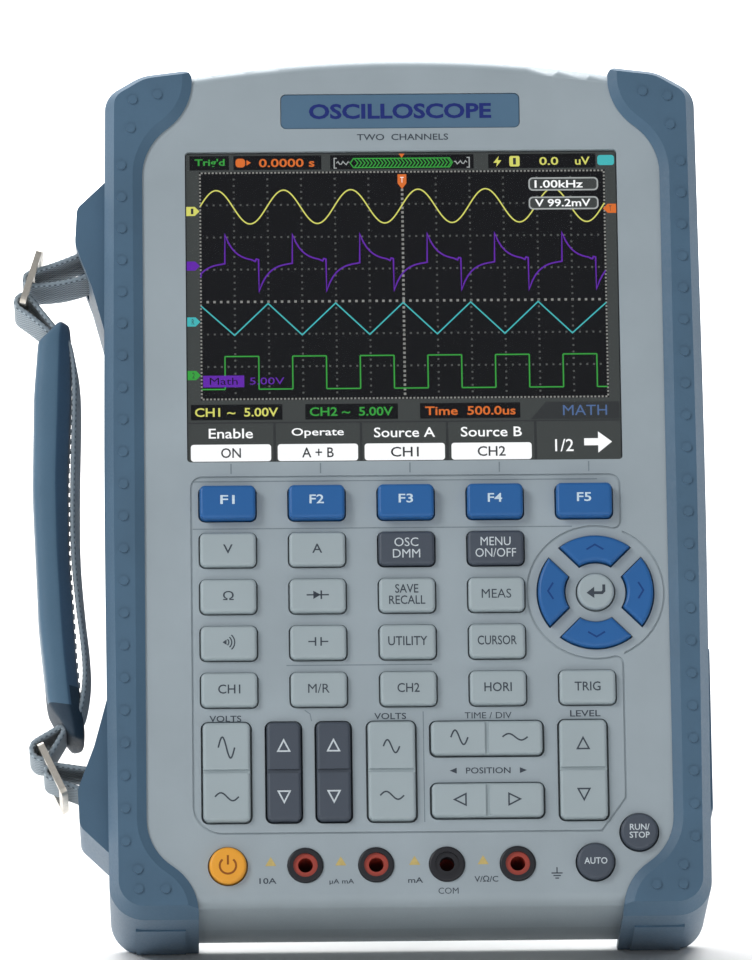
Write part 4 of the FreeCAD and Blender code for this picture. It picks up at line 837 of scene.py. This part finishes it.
def draw_status():
    caption("state", "Trig'd", -52.3, 90.5, 8.2, 2.6, "ui_green", 4, 0.2)
    marks = Picture(3)
    marks.rounded(-45.2, -42.6, 89.3, 91.8, 0.9)
    marks.polygon([(-42.2, 89.8), (-42.2, 91.4), (-41.0, 90.6)])
    marks.make("display_delay_icon", "ui_orange")
    caption("delay", "0.0000 s", -31.2, 90.5, 15.2, 2.4, "ui_orange", 4, 0.15)
    marks = Picture(3)
    marks.line([(-12.9, 89.0), (13.4, 89.0), (14.2, 90.3), (13.4, 91.6), (-12.9, 91.6),
                (-13.8, 90.3)], 0.3, closed=True)
    for i in range(27):
        x = -12.6 + i * 0.98
        marks.line([(x, 89.1), (x + 0.9, 90.3), (x, 91.5)], 0.3)
    marks.make("display_memory_bar", "ui_green")
    marks = Picture(3)
    for side in (-1, 1):
        edge = 0.3 + side * 18.5
        inner = edge - side * 0.7
        marks.line([(inner, 88.9), (edge, 88.9), (edge, 91.7), (inner, 91.7)], 0.3)
        marks.line([(edge - side * (0.6 + 0.45 * i), 90.3 + 0.5 * math.sin(1.9 * i))
                    for i in range(9)], 0.26)
    marks.make("display_memory_ends", "ui_mist")
    marks = Picture(3)
    marks.polygon([(26.9, 92.0), (25.4, 90.1), (26.5, 90.1)])
    marks.polygon([(26.2, 88.9), (27.6, 90.8), (26.5, 90.8)])
    marks.rounded(29.8, 32.6, 89.0, 92.0, 0.5)
    marks.make("display_level_icons", "ui_yellow")
    caption("level_source", "1", 31.2, 90.5, 0.8, 1.9, "ui_ink")
    caption("level", "0.0", 40.6, 90.5, 5.2, 2.3, "ui_yellow", 4, 0.15)
    caption("level_unit", "uV", 49.8, 90.5, 4.0, 2.3, "ui_yellow", 4, 0.15)
    boxes = Picture(4)
    boxes.rounded(34.9, 54.0, 82.0, 85.8, 1.2)
    boxes.rounded(34.9, 54.0, 76.6, 80.3, 1.2)
    boxes.make("display_measure_rims", "ui_mist")
    boxes = Picture(5)
    boxes.rounded(35.3, 53.6, 82.4, 85.4, 0.9)
    boxes.rounded(35.3, 53.6, 77.0, 79.9, 0.9)
    boxes.make("display_measure_boxes", "ui_grey")
    caption("measure_a", "1.00kHz", 43.2, 83.9, 13.2, 2.2, "ui_white", 6, 0.15)
    caption("measure_b", "V 99.2mV", 44.2, 78.5, 15.2, 2.2, "ui_white", 6, 0.15)


def draw_menu():
    label = Picture(4)
    label.box(-54.6, -43.4, 26.7, 30.0)
    label.make("display_sum_label", "ui_purple")
    caption("sum_name", "Math", -49.0, 28.4, 7.6, 2.0, "ui_black")
    caption("sum_scale", "5.00V", -37.2, 28.4, 9.4, 2.0, "ui_purple")
    caption("scale_one", "CH1 ~  5.00V", -45.6, 19.6, 22.6, 2.5, "ui_yellow", 4, 0.15)
    caption("scale_two", "CH2 ~  5.00V", -14.4, 19.6, 22.6, 2.5, "ui_green", 4, 0.15)
    caption("time_scale", "Time  500.0us", 18.0, 19.6, 24.6, 2.5, "ui_orange", 4, 0.15)
    caption("menu_name", "MATH", 49.2, 19.5, 12.0, 2.9, "ui_blue", 4, 0.1)
    buttons = Picture(3)
    items = (("Enable", 12.0, "ON", 5.4), ("Operate", 14.2, "A + B", 8.6),
             ("Source A", 16.6, "CH1", 7.6), ("Source B", 16.6, "CH2", 7.6))
    for i, (title, width, value, value_width) in enumerate(items):
        middle = -47.2 + 23.6 * i
        buttons.rounded(middle - 10.9, middle + 10.9, 5.75, 10.5, 0.8)
        caption(f"title_{i}", title, middle, 13.6, width, 2.8, "ui_white", 4, 0.1)
        caption(f"value_{i}", value, middle, 8.1, value_width, 2.8, "ui_ink", 5, 0.1)
    buttons.box(48.8, 52.6, 9.5, 11.5)
    buttons.polygon([(52.6, 7.4), (52.6, 13.4), (56.4, 10.5)])
    buttons.make("display_buttons", "ui_white")
    caption("page", "1/2", 43.4, 9.6, 5.0, 3.5, "ui_white", 4, 0.05)


draw_display_ground()
draw_grid()
draw_traces()
draw_markers()
draw_status()
draw_menu()


# ---------------------------------------------------------------- the hand strap

STRAP = {"front": 15.0, "back": 33.0, "thick": 1.3}
LUG_BAR, SLIDER_BAR = 3.3, 1.85  # how far the webbing's middle runs from each bar's axis
EYE_REACH = 6.9  # from a slider's hinge to the bar that the pad's webbing goes round
UPPER_LEAN, LOWER_LEAN = math.radians(17.8), math.radians(-25.3)  # of the two sliders


def smooth_path(points):
    """A Catmull-Rom curve through the points."""
    per_span = 6
    points = [Vector(p) for p in points]
    ends = [2 * points[0] - points[1]] + points + [2 * points[-1] - points[-2]]
    out = []
    for i in range(1, len(ends) - 2):
        a, b, c, d = ends[i - 1:i + 3]
        for k in range(per_span):
            t = k / per_span
            out.append(0.5 * (2 * b + (c - a) * t + (2 * a - 5 * b + 4 * c - d) * t**2
                              + (3 * b - a - 3 * c + d) * t**3))
    return out + [points[-1]]


def arc_path(x, z, radius, start, stop, steps):
    """Points along an arc from start to stop, in degrees, anticlockwise."""
    angles = [math.radians(start + (stop - start) * i / steps) for i in range(steps + 1)]
    return [(x + radius * math.cos(a), z + radius * math.sin(a)) for a in angles]


def belt_path(first, first_radius, second, second_radius, bow):
    """Round one bar, along to the other, round it and back; bow lifts the run back and the run out."""
    one, two = Vector(first), Vector(second)
    along = two - one
    heading = math.degrees(math.atan2(along.y, along.x))
    lean = math.degrees(math.acos((first_radius - second_radius) / along.length))
    near = arc_path(*one, first_radius, heading + lean, heading + 360 - lean, 22)
    far = arc_path(*two, second_radius, heading - lean, heading + lean, 16)

    def run(a, b, lift):
        a, b = Vector(a), Vector(b)
        side = Vector((-(b - a).y, (b - a).x)).normalized()
        return [tuple(a.lerp(b, k / 10) + side * lift * math.sin(math.pi * k / 10))
                for k in range(1, 10)]

    return near + run(near[-1], far[0], bow[1]) + far + run(far[-1], near[0], bow[0])


def band(name, path, body, closed=False, seed=0, tilt=0.0):
    """A strip of webbing along a path, with rounded edges; tilt moves its back edge to the right."""
    path = [Vector(p) for p in path]
    count, thick = len(path), STRAP["thick"] / 2
    front, back = STRAP["front"], STRAP["back"]
    section = [(front + 0.5, -thick), (front, -thick * 0.4), (front, thick * 0.4),
               (front + 0.5, thick)]
    inner = [front + 0.5 + (back - front - 1) * k / 8 for k in range(1, 8)]
    section += [(y, thick) for y in inner]
    section += [(back - 0.5, thick), (back, thick * 0.4), (back, -thick * 0.4),
                (back - 0.5, -thick)]
    section += [(y, -thick) for y in reversed(inner)]
    rng = random.Random(seed)
    vertices, lengths, travelled = [], [], 0.0
    for i, here in enumerate(path):
        before = path[i - 1] if i or closed else here
        after = path[(i + 1) % count] if i < count - 1 or closed else here
        along = (after - before).normalized()
        normal = Vector((-along.y, along.x))
        travelled += (here - path[i - 1]).length if i else 0.0
        lengths.append(travelled)
        wobble = rng.uniform(-0.06, 0.06)
        lean = 0.0
        if tilt and 0 < i < count - 1:
            lean = tilt * math.sin(math.pi * i / (count - 1)) ** 0.7
        for y, out in section:
            spot = here + normal * out
            vertices.append((spot.x + lean * (y - front) / (back - front), y + wobble, spot.y))
    around, faces, uvs = len(section), [], []
    for i in range(count if closed else count - 1):
        j = (i + 1) % count
        end = lengths[j] if j else lengths[i] + (path[0] - path[i]).length
        for k in range(around):
            m = (k + 1) % around
            faces.append([i * around + k, i * around + m, j * around + m, j * around + k])
            ya, yb = section[k][0], section[m][0]
            uvs.append([(lengths[i], ya), (lengths[i], yb), (end, yb), (end, ya)])
    if not closed:
        faces += [list(reversed(range(around))), [(count - 1) * around + k for k in range(around)]]
        uvs += [[(0, section[k][0]) for k in reversed(range(around))],
                [(travelled, section[k][0]) for k in range(around)]]
    mesh = bpy.data.meshes.new(name)
    mesh.from_pydata([tuple(v) for v in vertices], [], faces)
    layer = mesh.uv_layers.new(name="UVMap")
    for polygon, corners in zip(mesh.polygons, uvs):
        for loop, uv in zip(polygon.loop_indices, corners):
            layer.data[loop].uv = uv
    mesh.update()
    piece = finish_mesh(name, mesh, "webbing", body, True)
    return piece


def hinge_spot(joint):
    """Where a strap joint's axis crosses the face plane."""
    spot = TO_FACE @ Vector(JOINTS[joint]["pos_m"])
    return spot.x, spot.z


def make_webbing():
    """The loops on the lugs, the lining of the pad and the pad's eye and tail on the sliders."""
    upper_bar, upper_slider = hinge_spot("upper_strap_swing"), hinge_spot("hand_grip_swing")
    lower_bar, lower_slider = hinge_spot("lower_strap_swing"), hinge_spot("lower_slider_swing")
    path = belt_path(upper_bar, LUG_BAR, upper_slider, SLIDER_BAR, (-0.9, 0.3))
    loop = band("upper_webbing", path, "upper_strap_loop", True, seed=1)
    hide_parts("upper_strap_loop")
    path = belt_path(lower_bar, LUG_BAR, lower_slider, SLIDER_BAR, (0.0, 0.0))
    loop = band("lower_webbing", path, "lower_strap_loop", True, seed=2)
    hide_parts("lower_strap_loop")
    eye = (upper_slider[0] - EYE_REACH * math.sin(UPPER_LEAN),
           upper_slider[1] - EYE_REACH * math.cos(UPPER_LEAN))
    path = belt_path(eye, 2.15, (-94.9, 46.6), 0.8, (0.0, 0.25))
    band("palm_eye", path, "hand_grip", True, seed=4)
    down = smooth_path([(-92.6, 46.2), (-90.9, 42.6), (-90.0, 36.0), (-89.9, 26.0), (-90.5, 2.0),
                        (-90.4, -15.0), (-89.2, -30.0), (-87.9, -41.0), (-87.4, -50.0),
                        (-88.4, -58.4), (-90.2, -62.4)])
    lining = band("palm_webbing", down, "hand_grip", seed=3, tilt=1.4)
    top = (lower_slider[0] + EYE_REACH * math.sin(LOWER_LEAN),
           lower_slider[1] + EYE_REACH * math.cos(LOWER_LEAN))
    path = belt_path(top, 2.75, (-94.0, -65.4), 0.9, (0.0, 0.0))
    band("tail_webbing", path, "hand_grip", True, seed=5)
    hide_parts("strap_lining")


def pad_sides(z):
    """The left and right sides of the palm pad at a height."""
    left = [(50.6, -96.2), (48.6, -97.2), (44.6, -99.3), (28.0, -100.5), (2.0, -100.9),
            (-34.0, -99.5), (-56.0, -97.4), (-60.0, -96.8), (-66.0, -94.8), (-69.4, -93.6)]
    right = [(50.6, -90.9), (43.4, -90.5), (28.0, -90.6), (6.0, -91.5), (-14.0, -91.4),
             (-44.0, -89.7), (-60.0, -88.2), (-64.0, -87.4), (-69.4, -87.6)]

    def read(rows):
        for (za, xa), (zb, xb) in zip(rows, rows[1:]):
            if zb <= z <= za:
                t = (za - z) / (za - zb)
                t = t if za - zb < 8 else t * t * (3 - 2 * t) * 0.25 + t * 0.75
                return xa + (xb - xa) * t
        return rows[0][1] if z > rows[0][0] else rows[-1][1]

    return read(left), read(right)


def make_pad():
    """The palm pad: a crowned cushion with a crease down its front and slanted, blunt ends; the bevel
    from the crease to its right side takes a darker colour, painted shade.
    """
    rows, around, top, bottom = 64, 19, 50.2, -68.4
    swell = 0.6  # how far the palm's side stands out past its outline
    main, shade, tip = range(3)
    vertices, faces, slots = [], [], []
    for i in range(rows + 1):
        z = top + (bottom - top) * i / rows
        left, right = pad_sides(z)
        left -= swell
        end = min((top - z) / 4.0, (z - bottom) / 4.0, 1.0)
        round_off = math.sqrt(max(1 - (1 - max(end, 0.02)) ** 2, 0.05))
        middle = (left + right) / 2
        crease = left + 0.64 * (right - left)
        near_top, near_bottom = max(0, 1 - (top - z) / 7), max(0, 1 - (z - bottom) / 11)
        front = 11.6 + 2.4 * (1 - round_off) - 0.1 * math.sin(math.pi * i / rows * 9) ** 2
        back = 36.4 - 2.4 * (1 - round_off)
        ring = [(left + 0.15, front + 3.0), (left + 0.5, front + 1.2), (left + 1.5, front + 0.25),
                ((left + crease) / 2, front - 0.1), (crease - 0.7, front), (crease, front + 0.15),
                (crease + 0.5, front + 0.6), ((crease + right) / 2, front + 2.1),
                (right - 0.5, front + 3.7), (right - 0.1, front + 4.8), (right, front + 8.0),
                (right - 0.1, back - 4.8), (right - 0.8, back - 2.2), (right - 2.2, back - 0.6),
                (middle, back), (left + 2.2, back - 0.5), (left + 0.8, back - 1.8),
                (left + 0.1, back - 4.4), (left, (front + back) / 2)]
        for x, y in ring:
            share = 1 - (x - left) / (right - left)
            slant = (5.5 * near_bottom - 4.2 * near_top) * max(0, (share - 0.5) / 0.5)
            vertices.append((middle + (x - middle) * (0.86 + 0.14 * round_off), y, z + slant))
    for i in range(rows):
        for k in range(around):
            m = (k + 1) % around
            here, below = i * around, (i + 1) * around
            faces.append([here + k, below + k, below + m, here + m])
            low = i >= rows - 5 or (i >= rows - 8 and k >= 6)
            # faces from the crease to the right side get the darker colour, painted shade; the lowest
            # rows get the dark tip
            slots.append(tip if low else (shade if 5 <= k <= 9 else main))
    faces += [list(range(around)), [rows * around + k for k in reversed(range(around))]]
    slots += [main, tip]
    piece = from_faces("palm_pad", vertices, faces, "palm", "hand_grip", True)
    for name in ("palm_painted_shade", "tip"):
        piece.data.materials.append(MATERIALS[name])
    for polygon, slot in zip(piece.data.polygons, slots):
        polygon.material_index = slot
    modifier = piece.modifiers.new("rounding", "SUBSURF")
    modifier.levels = modifier.render_levels = 1
    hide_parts("hand_grip")


def make_stitches():
    """A row of pale thread down the bevel of the palm pad."""
    top, pitch, half, depth = 41.0, 2.75, 0.75, 17.4
    sides = ((0, 1, 5, 4), (1, 2, 6, 5), (2, 3, 7, 6), (3, 0, 4, 7), (3, 2, 1, 0), (4, 5, 6, 7))
    vertices, faces = [], []
    for i in range(38):
        z = top - i * pitch
        x = pad_sides(z)[1] + 0.02
        start = len(vertices)
        for dz in (-half, half):
            vertices += [(x - 0.3, depth - 0.35, z + dz), (x + 0.22, depth - 0.35, z + dz),
                         (x + 0.3, depth + 0.35, z + dz), (x - 0.3, depth + 0.35, z + dz)]
        faces += [[start + corner for corner in side] for side in sides]
    piece = from_faces("palm_stitches", vertices, faces, "thread", "hand_grip")


make_webbing()
make_pad()
make_stitches()
